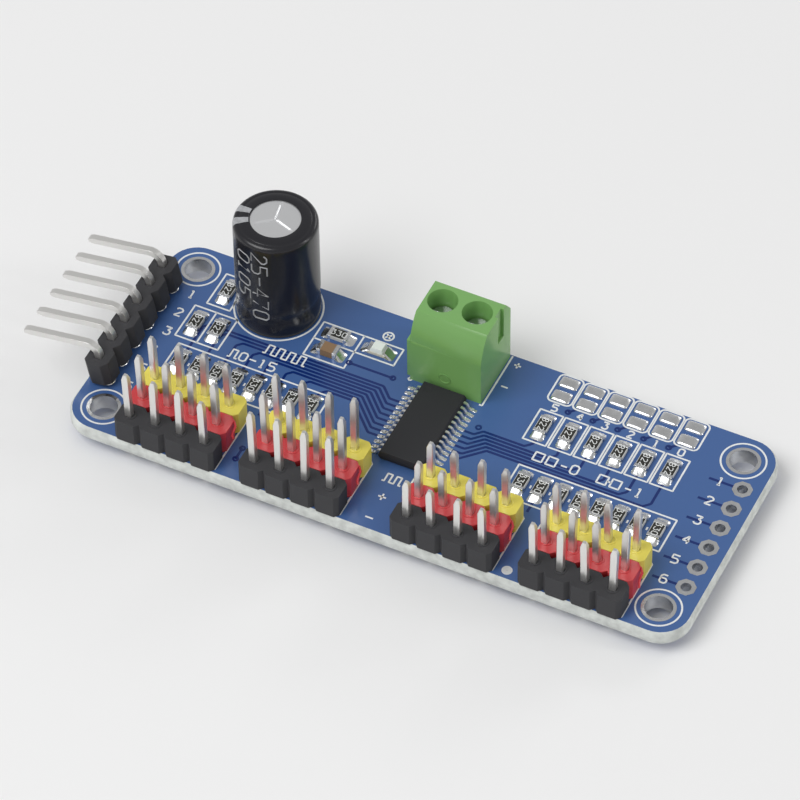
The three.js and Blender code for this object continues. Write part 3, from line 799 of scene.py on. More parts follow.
class BOARD_OT_traces(bpy.types.Operator):
    """Builds the traces that show as raised lines in the mask, above and below"""

    bl_idname = "servo_board.build_traces"
    bl_label = "Traces"

    def execute(self, context):
        values = {
            "Line Width": size_of("trace_width"),
            "Line Height": size_of("trace_height"),
            "Corner Radius": 0.3,
            "Material": finish("raised_mask"),
        }
        top = [[(x, y, TOP) for x, y in run] for run in trace_paths()]
        run_tree("traces_top", shared(flat_line), path_mesh("traces_top", top), values, slot="solder_mask")
        under = [[(-24.5, servo_pins(row)[0][1], 0.0), (24.5, servo_pins(row)[0][1], 0.0)] for row in ROWS]
        for y in cell_places(CONTROL_CELLS):
            level = y * 0.5 - 0.2
            under.append([(-28.0, y, 0.0), (-27.0, y, 0.0), (-24.6, level, 0.0), (24.6, level, 0.0)])
            under[-1] += [(27.0, y, 0.0), (28.0, y, 0.0)]
        paths = path_mesh("traces_under", under)
        run_tree("traces_under", shared(flat_line), paths, values, slot="solder_mask")
        return {"FINISHED"}


def header_numbers():
    paths = []
    for i, y in enumerate(cell_places(CONTROL_CELLS)):
        number = str(CONTROL_CELLS - i)
        paths += centred_figures(number, -27.1 + 0.1 * (i % 2), y + 0.1, 0.95)
        paths += centred_figures(number, 27.0, y + 0.05, 0.95)
    return paths


def part_outlines():
    """The boxes printed round the small parts."""
    paths = [box_path(-25.25, 6.05, -22.85, 10.15), box_path(-26.1, 1.2, -21.65, 5.35)]
    paths.append([(-23.85, 1.2, TOP), (-23.85, 5.35, TOP)])
    paths.append(box_path(-14.25, 4.15, -10.05, 8.6))
    paths.append([(-14.25, 6.4, TOP), (-10.05, 6.4, TOP)])
    paths.append([(-10.05, 6.4, TOP), (-6.0, 6.4, TOP), (-6.0, 8.6, TOP), (-10.05, 8.6, TOP)])
    for i in range(6):
        x = ADDRESS_X + PITCH * i
        paths.append(box_path(x - 1.15, 3.45, x + 1.15, 7.4))
        paths.append(closed_path(rounded_corners(1.2, 1.75, 0.5, 4), x, 10.45))
    for side in (-1, 1):
        paths.append(box_path(side * 17.46 - 7.86, -3.6, side * 17.46 + 7.86, 0.45))
    return paths


def header_outlines():
    """Outlines beside the strips, the terminal and the capacitor, and round the fixing holes."""
    paths = []
    for group in range(1, 5):
        x = middle(f"servo_strip_{group}_signal").x + 2 * PITCH
        line = [(x - 1.2, -4.85), (x - 0.4, -4.85), (x, -5.25)]
        line += [(x, -11.9), (x - 0.4, -12.2), (x - 1.2, -12.2)]
        paths.append([(px, py, TOP) for px, py in line])
        left = [(x - 10.6, -4.85), (x - 11.0, -5.25), (x - 11.0, -6.0)]
        paths.append([(max(px, -30.6), py, TOP) for px, py in left])
    paths.append([(3.2, 5.45, TOP), (3.5, 5.45, TOP), (3.5, 12.2, TOP)])
    can = middle("capacitor_can")
    paths.append(circle_path(can.x, can.y, 4.2, 64))
    for x, y in MOUNT_AT:
        paths.append(circle_path(x, y, 2.1, 48))
    return paths


def row_figures():
    """Row and pole signs: a pulse, a plus and a minus, and the address bits."""
    paths = centred_figures("nn", 0.0, -6.1, 0.95)
    paths += centred_figures("+", 0.0, -8.4, 1.15)
    paths += centred_figures("-", 0.0, -11.1, 1.15)
    paths += centred_figures("+", 4.4, 11.3, 1.0)
    paths += centred_figures("-", 4.4, 8.4, 1.0)
    for i in range(6):
        paths += centred_figures(str(5 - i), ADDRESS_X + PITCH * i, 8.05, 0.8)
    paths += flat_figures("n0-15", -20.4, 0.95, 1.0)
    paths += flat_figures("nnnn", -17.6, 2.75, 1.1)
    paths += [circle_path(-8.0, 9.5, 0.5, 20)]
    for turn in (45, 135):
        dx, dy = 0.35 * math.cos(math.radians(turn)), 0.35 * math.sin(math.radians(turn))
        paths.append([(-8.0 - dx, 9.5 - dy, TOP), (-8.0 + dx, 9.5 + dy, TOP)])
    return paths


def jumper_legend():
    """Two small jumpers: an open one stands for 0 and a closed one for 1."""
    paths = []
    for x, figure in ((10.4, "0"), (16.8, "1")):
        paths.append(box_path(x, 1.5, x + 0.9, 2.5))
        paths.append(box_path(x + 1.3, 1.5, x + 2.2, 2.5))
        paths += flat_figures("-", x + 2.7, 1.5, 0.9)
        paths += flat_figures(figure, x + 3.7, 1.45, 1.05)
        if figure == "1":
            paths.append([(x + 0.9, 2.0, TOP), (x + 1.3, 2.0, TOP)])
    return paths


def marks_between_resistors():
    paths = []
    for side in (-1, 1):
        for i in range(7):
            x = side * 17.46 + (i - 3) * 1.93
            paths.append([(x, -1.75, TOP), (x, -1.4, TOP)])
    paths += [circle_path(13.9, -11.4, radius, 20) for radius in (0.12, 0.28, 0.42)]
    paths += [circle_path(-3.9, 5.6, 0.16, 12)]
    return paths


class BOARD_OT_print(bpy.types.Operator):
    """Prints the outlines, numbers and signs on the board"""

    bl_idname = "servo_board.build_print"
    bl_label = "Print"

    def execute(self, context):
        paths = header_numbers() + part_outlines() + header_outlines() + row_figures()
        paths += jumper_legend() + marks_between_resistors()
        values = {
            "Line Width": size_of("print_width"),
            "Line Height": size_of("print_height"),
            "Corner Radius": 0.04,
            "Material": finish("board_print"),
        }
        run_tree("board_print_lines", shared(flat_line), path_mesh("print", paths), values, slot="board_print")
        return {"FINISHED"}


# ---------------------------------------------------------------- pads and solder


def draw_ring(inner, outer, height=0.03, sides=28, corners=0):
    """Returns a function that draws a flat ring, round or with straight outer sides."""

    def draw(bm):
        loops = []
        for radius, z in ((inner, 0.0), (outer, 0.0), (outer, height), (inner, height)):
            points = []
            for i in range(sides):
                angle = 2 * math.pi * i / sides
                reach = radius
                if corners and radius == outer:
                    step = 2 * math.pi / corners
                    reach = radius / math.cos((angle + step / 2) % step - step / 2)
                points.append((reach * math.cos(angle), reach * math.sin(angle), z))
            loops.append([bm.verts.new(p) for p in points])
        for low, high in zip(loops, loops[1:] + loops[:1]):
            add_bridge(bm, low, high)

    return draw


def draw_joint(bm):
    """A solder joint that climbs a lead: wide foot, hollow flank, narrow neck."""
    profile = [(0, 0), (0.86, 0), (0.82, 0.09), (0.62, 0.25), (0.47, 0.5), (0.4, 0.8), (0.34, 0.98), (0, 1.0)]
    add_turned(bm, profile, 0, 0, 14)


def draw_fillet(bm, steps=5):
    """Solder at the end of a chip part: high against the part, thin at the pad's edge."""
    grid = []
    for i in range(steps + 1):
        u = i / steps
        row = []
        for j in range(2 * steps + 1):
            v = j / steps - 1
            height = (1 - u) ** 1.7 * 0.88 * (1 - abs(v) ** 5) + 0.12 * (1 - u**6) * (1 - abs(v) ** 6)
            width = 0.5 * (1 - 0.12 * u**3)
            row.append(bm.verts.new((u * (1 - 0.1 * v**4), v * width, height)))
        grid.append(row)
    base = [[bm.verts.new((vert.co.x, vert.co.y, -0.01)) for vert in row] for row in grid]
    for layer in (grid, base):
        for i in range(steps):
            for j in range(2 * steps):
                bm.faces.new((layer[i][j], layer[i][j + 1], layer[i + 1][j + 1], layer[i + 1][j]))
    rim = [(0, j) for j in range(2 * steps)] + [(i, 2 * steps) for i in range(steps)]
    rim += [(steps, j) for j in range(2 * steps, 0, -1)] + [(i, 0) for i in range(steps, 0, -1)]
    for (a, b), (c, d) in zip(rim, rim[1:] + rim[:1]):
        bm.faces.new((grid[a][b], grid[c][d], base[c][d], base[a][b]))


def draw_dome(bm):
    """A tinned pad: a low cushion of solder with square-ish sides."""
    levels = ((1.0, 0.0), (1.0, 0.3), (0.9, 0.65), (0.65, 0.92), (0.3, 1.0))
    loops = []
    for scale, z in levels:
        outline = rounded_corners(0.5 * scale, 0.5 * scale, 0.14 * scale, 3)
        loops.append([(x, y, z) for x, y in outline])
    add_loft(bm, loops)


def chip_part_ends():
    """The two ends of every small part, as (x, y, heading, width, height)."""
    ends = []
    names = [f"series_resistor_{i:02d}" for i in range(1, 17)]
    names += [f"address_resistor_{i}" for i in range(6)] + [f"pullup_resistor_{i}" for i in range(1, 4)]
    names += ["lamp_resistor", "ceramic_capacitor", "power_lamp"]
    for name in names:
        low, high = span(name)
        at = (low + high) / 2
        along_x = high.x - low.x > high.y - low.y
        reach = (high.x - low.x if along_x else high.y - low.y) / 2
        width = high.y - low.y if along_x else high.x - low.x
        for side in (-1, 1):
            heading = (0.0 if side > 0 else math.pi) + (0.0 if along_x else math.pi / 2)
            x = at.x + (side * reach if along_x else 0.0)
            y = at.y + (0.0 if along_x else side * reach)
            ends.append((x, y, heading, width, high.z - TOP))
    return ends


def lead_toes():
    """Where the toe of each chip lead rests, and its heading."""
    low, high = span("driver_chip")
    at = (low + high) / 2
    half = (high.x - low.x) / 2
    places = []
    for side in (-1, 1):
        for i in range(14):
            y = at.y + (i - 6.5) * LEAD_PITCH
            places.append((at.x + side * half, y, 0.0 if side > 0 else math.pi))
    return places


class BOARD_OT_pads(bpy.types.Operator):
    """Builds the plated pads and every solder joint, above and below"""

    bl_idname = "servo_board.build_pads"
    bl_label = "Pads and solder"

    def execute(self, context):
        tin = finish("solder")
        flat, plain = (0.0, 0.0, 0.0), (1.0, 1.0, 1.0)
        over = (math.pi, 0.0, 0.0)
        rings = [((x, y, TOP), flat, plain) for x, y in MOUNT_AT]
        rings += [((x, y, 0.0), over, plain) for x, y in MOUNT_AT]
        repeat("mount_rings", draw_ring(1.3, 1.62, sides=44), rings, tin, slot="solder")
        open_pads = [((x, y, TOP), flat, plain) for x, y in open_holes()]
        open_pads += [((x, y, 0.0), over, plain) for x, y in open_holes()]
        repeat("open_pads", draw_ring(0.5, 0.9, sides=32, corners=8), open_pads, tin, slot="solder")
        upper = [((x, y, TOP), flat, (r + 0.25, r + 0.25, 0.5)) for x, y, r in lead_holes() if x < -28]
        lower = [((x, y, 0.0), over, (1.0, 1.0, 0.98)) for x, y, _ in lead_holes()]
        repeat("lead_joints_top", draw_joint, upper, tin, lean=0.05, seed=3, slot="solder")
        repeat("lead_joints_under", draw_joint, lower, tin, lean=0.05, seed=5, slot="solder")
        ends = []
        for x, y, heading, width, height in chip_part_ends():
            back = (0.12 * math.cos(heading), 0.12 * math.sin(heading))
            stretch = (0.82, width * 1.14, height * 0.9)
            ends.append(((x - back[0], y - back[1], TOP), (0, 0, heading), stretch))
        repeat("chip_part_fillets", draw_fillet, ends, tin, lean=0.03, seed=11, slot="solder")
        toes = [((x - 0.3 * math.cos(h), y, TOP), (0, 0, h), (0.62, 0.4, 0.2)) for x, y, h in lead_toes()]
        repeat("chip_lead_fillets", draw_fillet, toes, tin, lean=0.02, seed=13, slot="solder")
        jumpers = []
        for i in range(6):
            x = ADDRESS_X + PITCH * i
            jumpers.append(((x, 11.3, TOP), flat, (1.85, 1.3, 0.26)))
            jumpers.append(((x, 9.52, TOP), flat, (1.85, 1.35, 0.26)))
        repeat("jumper_pads", draw_dome, jumpers, tin, lean=0.0, seed=17, slot="solder")
        spots = [(x, VIA_ROW_Y) for x in VIA_ROW]
        spots += [(-9.9, 5.0), (-5.4, 5.0), (4.35, 2.9), (-14.1, -8.6), (-14.1, -10.0)]
        vias = [((x, y, TOP), flat, plain) for x, y in spots] + [((x, y, 0.0), over, plain) for x, y in spots]
        repeat("vias", draw_ring(0.14, 0.32, 0.045, 12), vias, finish("raised_mask"), slot="solder_mask")
        return {"FINISHED"}


# ---------------------------------------------------------------- strips and pins


def strip_outline(cells, notch, width=2.5):
    """Octagonal cells in a row along X, about the origin."""
    half, end = width / 2, cells * PITCH / 2
    low, high = [], []
    for i in range(cells):
        left = -end + i * PITCH
        low += [(left + notch, -half), (left + PITCH - notch, -half)]
        high += [(left + notch, half), (left + PITCH - notch, half)]
        if i < cells - 1:
            low.append((left + PITCH, -half + notch))
            high.append((left + PITCH, half - notch))
    tips = [(end, -half + notch), (end, half - notch)]
    return low + tips + high[::-1] + [(-end, half - notch), (-end, -half + notch)]


def draw_pin(bm, length=10.0):
    """A square pin one length tall from z 0, with tapered ends and eased corners."""
    half, ease = size_of("pin_side") / 2, 0.05
    levels = ((0.0, 0.5), (0.3, 1.0), (length - 0.5, 1.0), (length, 0.5))
    loops = []
    for z, scale in levels:
        h, e = half * scale, ease * scale
        corners = [(h - e, h), (e - h, h), (-h, h - e), (-h, e - h)]
        corners += [(e - h, -h), (h - e, -h), (h, e - h), (h, h - e)]
        loops.append([(x, y, z) for x, y in corners])
    add_loft(bm, loops)


class BOARD_OT_servo_strips(bpy.types.Operator):
    """Builds the twelve coloured strips with their pins"""

    bl_idname = "servo_board.build_servo_strips"
    bl_label = "Servo strips"

    def execute(self, context):
        for row in ROWS:
            for group in range(1, 5):
                node = f"servo_strip_{group}_{row}"
                at = middle(node)
                bm = bmesh.new()
                outline = [(at.x + x, at.y + y) for x, y in strip_outline(4, 0.4)]
                add_prism(bm, outline, TOP, TOP + 2.54)
                for x in cell_places(4):
                    collar = [(0.42, TOP + 2.53), (0.62, TOP + 2.53), (0.58, TOP + 2.6), (0.44, TOP + 2.6)]
                    add_turned(bm, collar, at.x + x, at.y, 16, closed=True)
                name = STRIP_FINISH[row]
                place = {"bevel": size_of("plastic_edge"), "slot": name, "replaces": [node]}
                settle(node + "_moulding", bm, [finish(name)], **place)
            places = []
            for x, y, top in servo_pins(row):
                places.append(((x, y, TAIL), (0.0, 0.0, 0.0), (1.0, 1.0, (top - TAIL) / 10.0)))
            lean = context.scene.board_sizes.pin_lean
            plating = finish("pin_plating")
            repeat("servo_pins_" + row, draw_pin, places, plating, lean=lean, seed=21, slot="pin_plating")
        flash = []
        for group in range(1, 5):
            node = f"servo_strip_{group}_power"
            x, y = span(node)[1].x, middle(node).y
            path = [(x - 0.05, y + 0.9, TOP + 2.4), (x + 0.3, y + 0.5, TOP + 2.2), (x + 0.3, y, TOP + 1.9)]
            path += [(x + 0.45, y - 0.5, TOP + 2.0), (x + 0.7, y - 0.7 - 0.1 * group, TOP + 2.15)]
            flash.append(path)
        values = {"Line Radius": 0.11, "Sides": 6, "Material": finish("strip_red")}
        run_tree("moulding_flash", shared(round_line), path_mesh("flash", flash), values, slot="strip_red")
        return {"FINISHED"}


HEADER_LEAN = math.radians(10)
HEADER_SEAT = (-29.46, 0.0, 2.0)


def bent_pin_outline(side):
    """The side view of a bent pin as (outwards, up) points."""
    half, start, radius, reach, steps = side / 2, 2.87, 1.1, 7.6, 8
    tail = -(HEADER_SEAT[2] - TAIL) / math.cos(HEADER_LEAN)
    leg, blunt = start + radius, half * 0.55
    inner, outer = [], []
    for i in range(steps + 1):
        angle = math.pi - math.pi / 2 * i / steps
        for arc, bend in ((inner, radius - half), (outer, radius + half)):
            arc.append((radius + bend * math.cos(angle), start + bend * math.sin(angle)))
    tip = [(reach - 0.5, leg - half), (reach, leg - blunt), (reach, leg + blunt), (reach - 0.5, leg + half)]
    foot = [(-half, tail + 0.3), (-blunt, tail), (blunt, tail), (half, tail + 0.3)]
    return inner + tip + outer[::-1] + foot


class BOARD_OT_control_header(bpy.types.Operator):
    """Builds the leaning control header and its six bent pins"""

    bl_idname = "servo_board.build_control_header"
    bl_label = "Control header"

    def execute(self, context):
        stand = Matrix.Translation(HEADER_SEAT) @ Matrix.Rotation(-HEADER_LEAN, 4, "Y")
        bm = copy_of_node("control_header_body")
        black = finish("strip_black")
        place = {"slot": "strip_black", "replaces": ["control_header_body"]}
        settle("control_header_moulding", bm, [black], bevel=size_of("plastic_edge"), **place)
        outline = bent_pin_outline(size_of("pin_side"))
        for i, y in enumerate(cell_places(CONTROL_CELLS)):
            bm = bmesh.new()
            half = size_of("pin_side") / 2
            loops = [[(-out, y + side * half, up) for out, up in outline] for side in (-1, 1)]
            add_loft(bm, loops)
            bmesh.ops.transform(bm, matrix=stand, verts=bm.verts)
            node = f"control_header_pin_{i + 1}"
            place = {"slot": "pin_plating", "replaces": [node]}
            settle(node + "_bent", bm, [finish("pin_plating")], bevel=size_of("metal_edge"), **place)
        return {"FINISHED"}


# ---------------------------------------------------------------- capacitor


SLEEVE_RADIUS = 3.99


def sleeve_section():
    """The sleeve's outer line from its foot to the opening over the can, as (radius, height)."""
    top = span("capacitor_sleeve")[1].z
    line = []
    steps = 26
    for i in range(steps + 1):
        z = TOP + 0.15 + (top - 0.6 - TOP - 0.15) * i / steps
        waist = 0.16 * math.exp(-(((z - TOP - 2.3) / 0.45) ** 2))
        line.append((SLEEVE_RADIUS - waist, z))
    for i in range(1, 7):
        angle = math.pi / 2 * i / 6
        line.append((3.49 + 0.5 * math.cos(angle), top - 0.6 + 0.5 * math.sin(angle)))
    line += [(3.38, top - 0.13), (3.28, top - 0.08), (2.9, top - 0.04), (2.5, top - 0.02), (2.38, top - 0.04)]
    return line


def add_sleeve_patch(bm, line, start, end, proud, material=0, steps=14):
    """A thin patch that follows the sleeve's section between two bearings."""
    columns = []
    at = middle("capacitor_can")
    for i in range(steps + 1):
        bearing = math.radians(start + (end - start) * i / steps)
        outward = (math.cos(bearing), math.sin(bearing))
        column = []
        for lift in (proud, -0.03):
            for radius, z in line:
                rim = max(0.0, min(1.0, (z - (line[-1][1] - 1.2)) / 1.2))
                reach, rise = radius + lift * (1 - 0.6 * rim), z + lift * rim
                column.append((at.x + reach * outward[0], at.y + reach * outward[1], rise))
        half = len(line)
        columns.append(column[:half] + column[half:][::-1])
    add_loft(bm, columns, material)


def on_sleeve(bearing, z):
    at = middle("capacitor_can")
    return (at.x + SLEEVE_RADIUS * math.cos(bearing), at.y + SLEEVE_RADIUS * math.sin(bearing), z)


def sleeve_figures(text, bearing, start, height):
    """Figures that read down the sleeve from height start."""
    return figures(text, height, lambda u, v: on_sleeve(bearing + v / SLEEVE_RADIUS, start - u))


def split_score(x, y):
    """How deep the three-armed pressure score is at a point of the can's top."""
    depth = 0.0
    for bearing in (100.0, 220.0, 340.0):
        c, s = math.cos(math.radians(bearing)), math.sin(math.radians(bearing))
        along, across = x * c + y * s, abs(-x * s + y * c)
        if -0.05 < along < 2.1:
            depth = max(depth, 0.13 * max(0.0, 1 - across / 0.15))
    return depth


class BOARD_OT_capacitor(bpy.types.Operator):
    """Builds the can, its sleeve and print, the bung and the winding"""

    bl_idname = "servo_board.build_capacitor"
    bl_label = "Capacitor"

    def execute(self, context):
        at = middle("capacitor_can")
        low, high = span("capacitor_can")
        bm = bmesh.new()
        lid = [(r, high.z) for r in (0.0, 0.12, 0.3, 0.5, 0.75, 1.0, 1.25, 1.5, 1.75, 2.0, 2.2, 2.4, 3.3)]
        side = [(3.6, high.z - 0.06), (3.83, high.z - 0.35), (3.85, low.z + 2.7), (3.66, low.z + 2.0)]
        foot = [(3.85, low.z + 1.3), (3.85, low.z), (3.55, low.z), (3.55, low.z + 1.3), (0.0, low.z + 1.4)]
        add_turned(bm, lid + side + foot, at.x, at.y, 192)
        for vert in bm.verts:
            if vert.co.z > high.z - 0.01:
                vert.co.z -= split_score(vert.co.x - at.x, vert.co.y - at.y)
        place = {"slot": "can_aluminium", "replaces": ["capacitor_can"]}
        settle("capacitor_can_shell", bm, [finish("can_aluminium")], **place)
        line = sleeve_section()
        bm = bmesh.new()
        inner = [(r - 0.09, z - (0.08 if z > high.z - 0.5 else 0.0)) for r, z in line[::-1] if r > 2.45]
        add_turned(bm, line + inner, at.x, at.y, 96, closed=True)
        place = {"slot": "sleeve_film", "replaces": ["capacitor_sleeve"]}
        settle("capacitor_sleeve_film", bm, [finish("sleeve_film")], **place)
        self.print_sleeve(line, high.z)
        for node, slot in (("capacitor_bung", "bung_rubber"), ("capacitor_winding", "wound_foil")):
            settle(node + "_core", copy_of_node(node), [finish(slot)], bevel=0.08, slot=slot, replaces=[node])
        return {"FINISHED"}

    def print_sleeve(self, line, top):
        bm = bmesh.new()
        add_sleeve_patch(bm, line[2:-1], 176, 214, 0.012)
        settle("sleeve_stripe", bm, [finish("sleeve_print")], slot="sleeve_print")
        bm = bmesh.new()
        bars = [line[i : i + 3] for i in (3, 9, 15, 21)] + [line[-9:-1]]
        for bar in bars:
            add_sleeve_patch(bm, bar, 189, 201, 0.022, steps=8)
        settle("sleeve_bars", bm, [finish("sleeve_film")], slot="sleeve_film")
        paths = []
        for text, bearing, start in (("25-470", 262, top - 0.9), ("0105", 236, top - 1.6)):
            paths += sleeve_figures(text, math.radians(bearing), start, 1.55)
        values = {"Line Radius": 0.08, "Sides": 6, "Material": finish("sleeve_print")}
        run_tree("sleeve_figures", shared(round_line), path_mesh("sleeve", paths), values, slot="sleeve_print")


# ---------------------------------------------------------------- terminal


class BOARD_OT_terminal(bpy.types.Operator):
    """Builds the screw terminal: housing, contacts, and the clamp screws and cages on their bodies"""

    bl_idname = "servo_board.build_terminal"
    bl_label = "Screw terminal"

    def execute(self, context):
        green = finish("terminal_green")
        bm = copy_of_node("terminal_housing")
        place = {"slot": "terminal_green", "replaces": ["terminal_housing"]}
        settle("terminal_housing_moulding", bm, [green], bevel=0.09, **place)
        low, high = span("terminal_housing")
        bm = bmesh.new()
        profile = [(0.0, -0.02), (0.62, -0.02), (0.62, 0.05), (0.5, 0.05), (0.46, 0.015), (0.0, 0.015)]
        add_turned(bm, profile, 0, 0, 32)
        turn = Matrix.Translation((-0.4, low.y, TOP + 1.7)) @ Matrix.Rotation(math.pi / 2, 4, "X")
        bmesh.ops.transform(bm, matrix=turn, verts=bm.verts)
        settle("terminal_gate_mark", bm, [green], slot="terminal_green")
        for pole in POLES:
            for part, body in (
                ("screw", "clamp_screw_" + pole),
                ("cage", "clamp_cage_" + pole),
            ):
                node = f"terminal_{part}_{pole}"
                place = {"body": body, "slot": "screw_steel", "replaces": [node]}
                place["bevel"] = size_of("metal_edge")
                settle(node + "_steel", copy_of_node(node), [finish("screw_steel")], **place)
            node = "terminal_contact_" + pole
            place = {"slot": "pin_plating", "replaces": [node]}
            place["bevel"] = size_of("metal_edge")
            settle(node + "_bar", copy_of_node(node), [finish("pin_plating")], **place)
        return {"FINISHED"}


# ---------------------------------------------------------------- chip and chip parts


def draw_lead(bm):
    """A gull-wing lead that comes out along +X from the moulding's side."""
    line = [(-0.25, 0.62), (0.12, 0.62), (0.3, 0.56), (0.42, 0.3), (0.5, 0.12), (0.62, 0.075), (1.0, 0.075)]
    half, thick = 0.125, 0.075
    loops = []
    for i, (x, z) in enumerate(line):
        before, after = line[max(0, i - 1)], line[min(len(line) - 1, i + 1)]
        slope = math.atan2(after[1] - before[1], after[0] - before[0])
        nx, nz = -math.sin(slope) * thick, math.cos(slope) * thick
        upper, lower = (x + nx, z + nz), (x - nx, z - nz)
        corners = ((lower, -half), (lower, half), (upper, half), (upper, -half))
        loops.append([(end[0], y, end[1]) for end, y in corners])
    add_loft(bm, loops)


class BOARD_OT_driver_chip(bpy.types.Operator):
    """Builds the driver chip: tapered moulding, first-pin dimple and 28 leads"""

    bl_idname = "servo_board.build_driver_chip"
    bl_label = "Driver chip"

    def execute(self, context):
        at = middle("driver_chip")
        high = span("driver_chip")[1]
        half_x, half_y = 2.2, 4.85
        bm = bmesh.new()
        loops = []
        for inset, z in ((0.12, TOP + 0.1), (0.0, TOP + 0.56), (0.0, TOP + 0.64), (0.14, high.z)):
            outline = [(-1, -1), (1, -1), (1, 1), (-1, 1)]
            loops.append([(at.x + x * (half_x - inset), at.y + y * (half_y - inset), z) for x, y in outline])
        add_loft(bm, loops)
        place = {"slot": "chip_epoxy", "replaces": ["driver_chip"]}
        settle("driver_chip_moulding", bm, [finish("chip_epoxy")], bevel=0.05, **place)
        bm = bmesh.new()
        dimple = [(0.0, 0.006), (0.34, 0.006), (0.36, 0.012), (0.4, 0.012), (0.42, -0.01), (0.0, -0.01)]
        profile = [(radius, high.z + z) for radius, z in dimple]
        add_turned(bm, profile, at.x - 1.3, at.y + 3.9, 24)
        settle("driver_chip_first_pin", bm, [finish("chip_epoxy")], slot="chip_epoxy")
        places = []
        for x, y, heading in lead_toes():
            root = at.x + (half_x if heading == 0 else -half_x)
            places.append(((root, y, TOP), (0.0, 0.0, heading), (1.0, 1.0, 1.0)))
        repeat("driver_chip_leads", draw_lead, places, finish("pin_plating"), slot="pin_plating")
        return {"FINISHED"}


def add_chip_part(bm, node, cap, with_film):
    """One small part: its body, the plated ends, and a glazed top on a resistor."""
    low, high = span(node)
    along_x = high.x - low.x > high.y - low.y
    at = (low + high) / 2
    length = (high.x - low.x if along_x else high.y - low.y) / 2
    width = (high.y - low.y if along_x else high.x - low.x) / 2

    def block(a, b, side, z0, z1, material):
        if along_x:
            add_block(bm, (at.x + a, at.y - side, z0), (at.x + b, at.y + side, z1), material)
        else:
            add_block(bm, (at.x - side, at.y + a, z0), (at.x + side, at.y + b, z1), material)

    top = high.z
    block(cap - length - 0.05, length - cap + 0.05, width - 0.03, TOP + 0.03, top - 0.05, 0)
    if with_film:
        block(cap - length + 0.02, length - cap - 0.02, width - 0.09, top - 0.06, top - 0.01, 2)
    else:
        block(cap - length - 0.04, length - cap + 0.04, width - 0.03, top - 0.08, top - 0.03, 0)
    block(-length, cap - length, width, TOP + 0.01, top, 1)
    block(length - cap, length, width, TOP + 0.01, top, 1)


class BOARD_OT_chip_parts(bpy.types.Operator):
    """Builds the small resistors with their figures, and the ceramic capacitor"""

    bl_idname = "servo_board.build_chip_parts"
    bl_label = "Resistors and ceramic"

    def execute(self, context):
        groups = [(f"series_resistor_{i:02d}", "330") for i in range(1, 17)]
        groups += [(f"address_resistor_{i}", "822") for i in range(6)]
        groups += [(f"pullup_resistor_{i}", "822") for i in range(1, 4)] + [("lamp_resistor", "330")]
        materials = [finish("resistor_body"), finish("solder"), finish("resistor_film")]
        paths = []
        for node, value in groups:
            bm = bmesh.new()
            add_chip_part(bm, node, 0.35, True)
            settle(node + "_part", bm, materials, bevel=0.035, slot="resistor_film", replaces=[node])
            at, top = middle(node), span(node)[1].z
            turn = 0.0 if node == "lamp_resistor" else -90.0
            paths += centred_figures(value, at.x, at.y, 0.58, turn, top - 0.005)
        values = {"Line Width": 0.075, "Line Height": 0.014, "Corner Radius": 0.03}
        values["Material"] = finish("board_print")
        run_tree("resistor_figures", shared(flat_line), path_mesh("values", paths), values, slot="board_print")
        bm = bmesh.new()
        add_chip_part(bm, "ceramic_capacitor", 0.4, False)
        materials = [finish("ceramic_body"), finish("solder"), finish("resistor_film")]
        place = {"slot": "ceramic_body", "replaces": ["ceramic_capacitor"]}
        settle("ceramic_capacitor_part", bm, materials, bevel=0.06, **place)
        return {"FINISHED"}


class BOARD_OT_lamp(bpy.types.Operator):
    """Builds the supply lamp: base, plated ends and clear lens"""

    bl_idname = "servo_board.build_lamp"
    bl_label = "Supply lamp"

    def execute(self, context):
        low, high = span("power_lamp")
        at = (low + high) / 2
        bm = bmesh.new()
        add_block(bm, (low.x + 0.05, low.y, TOP + 0.02), (high.x - 0.05, high.y, TOP + 0.33), 1)
        add_block(bm, (low.x, low.y + 0.02, TOP + 0.01), (low.x + 0.3, high.y - 0.02, TOP + 0.35), 2)
        add_block(bm, (high.x - 0.3, low.y + 0.02, TOP + 0.01), (high.x, high.y - 0.02, TOP + 0.35), 2)
        loops = []
        for half_x, half_y, z in ((0.68, 0.58, TOP + 0.32), (0.66, 0.57, TOP + 0.5), (0.52, 0.46, high.z)):
            outline = rounded_corners(half_x, half_y, 0.08, 3)
            loops.append([(at.x + x, at.y + y, z) for x, y in outline])
        add_loft(bm, loops, 0)
        materials = [finish("lamp_lens"), finish("lamp_base"), finish("solder")]
        settle("power_lamp_part", bm, materials, bevel=0.03, slot="lamp_lens", replaces=["power_lamp"])
        return {"FINISHED"}


# ---------------------------------------------------------------- stage


def add_softbox(name, place, aim, size, power):
    """A rectangular light that faces a point, all in metres and watts."""
    light = bpy.data.lights.new(name, "AREA")
    light.shape = "RECTANGLE"
    light.size, light.size_y = size
    light.energy = power
    holder = bpy.data.objects.new(name, light)
    holder.location = place
    holder.rotation_mode = "QUATERNION"
    holder.rotation_quaternion = (Vector(aim) - Vector(place)).to_track_quat("-Z", "Y")
    bpy.context.scene.collection.objects.link(holder)


def light_tent():
    """A pale sky, a little dimmer overhead than near the horizon."""
    world = bpy.data.worlds.new("light_tent")
    world.use_nodes = True
    tree = world.node_tree
    place = tree.nodes.new("ShaderNodeTexCoord").outputs["Generated"]
    up = add_node(tree, "ShaderNodeSeparateXYZ", {"Vector": place}).outputs["Z"]
    levels = {"Value": up, "From Min": -0.1, "From Max": 0.8, "To Min": 0.62, "To Max": 0.42}
    ramp = add_node(tree, "ShaderNodeMapRange", levels)
    tree.links.new(ramp.outputs["Result"], tree.nodes["Background"].inputs["Strength"])
    tree.nodes["Background"].inputs["Color"].default_value = (1.0, 1.0, 1.0, 1.0)
    bpy.context.scene.world = world


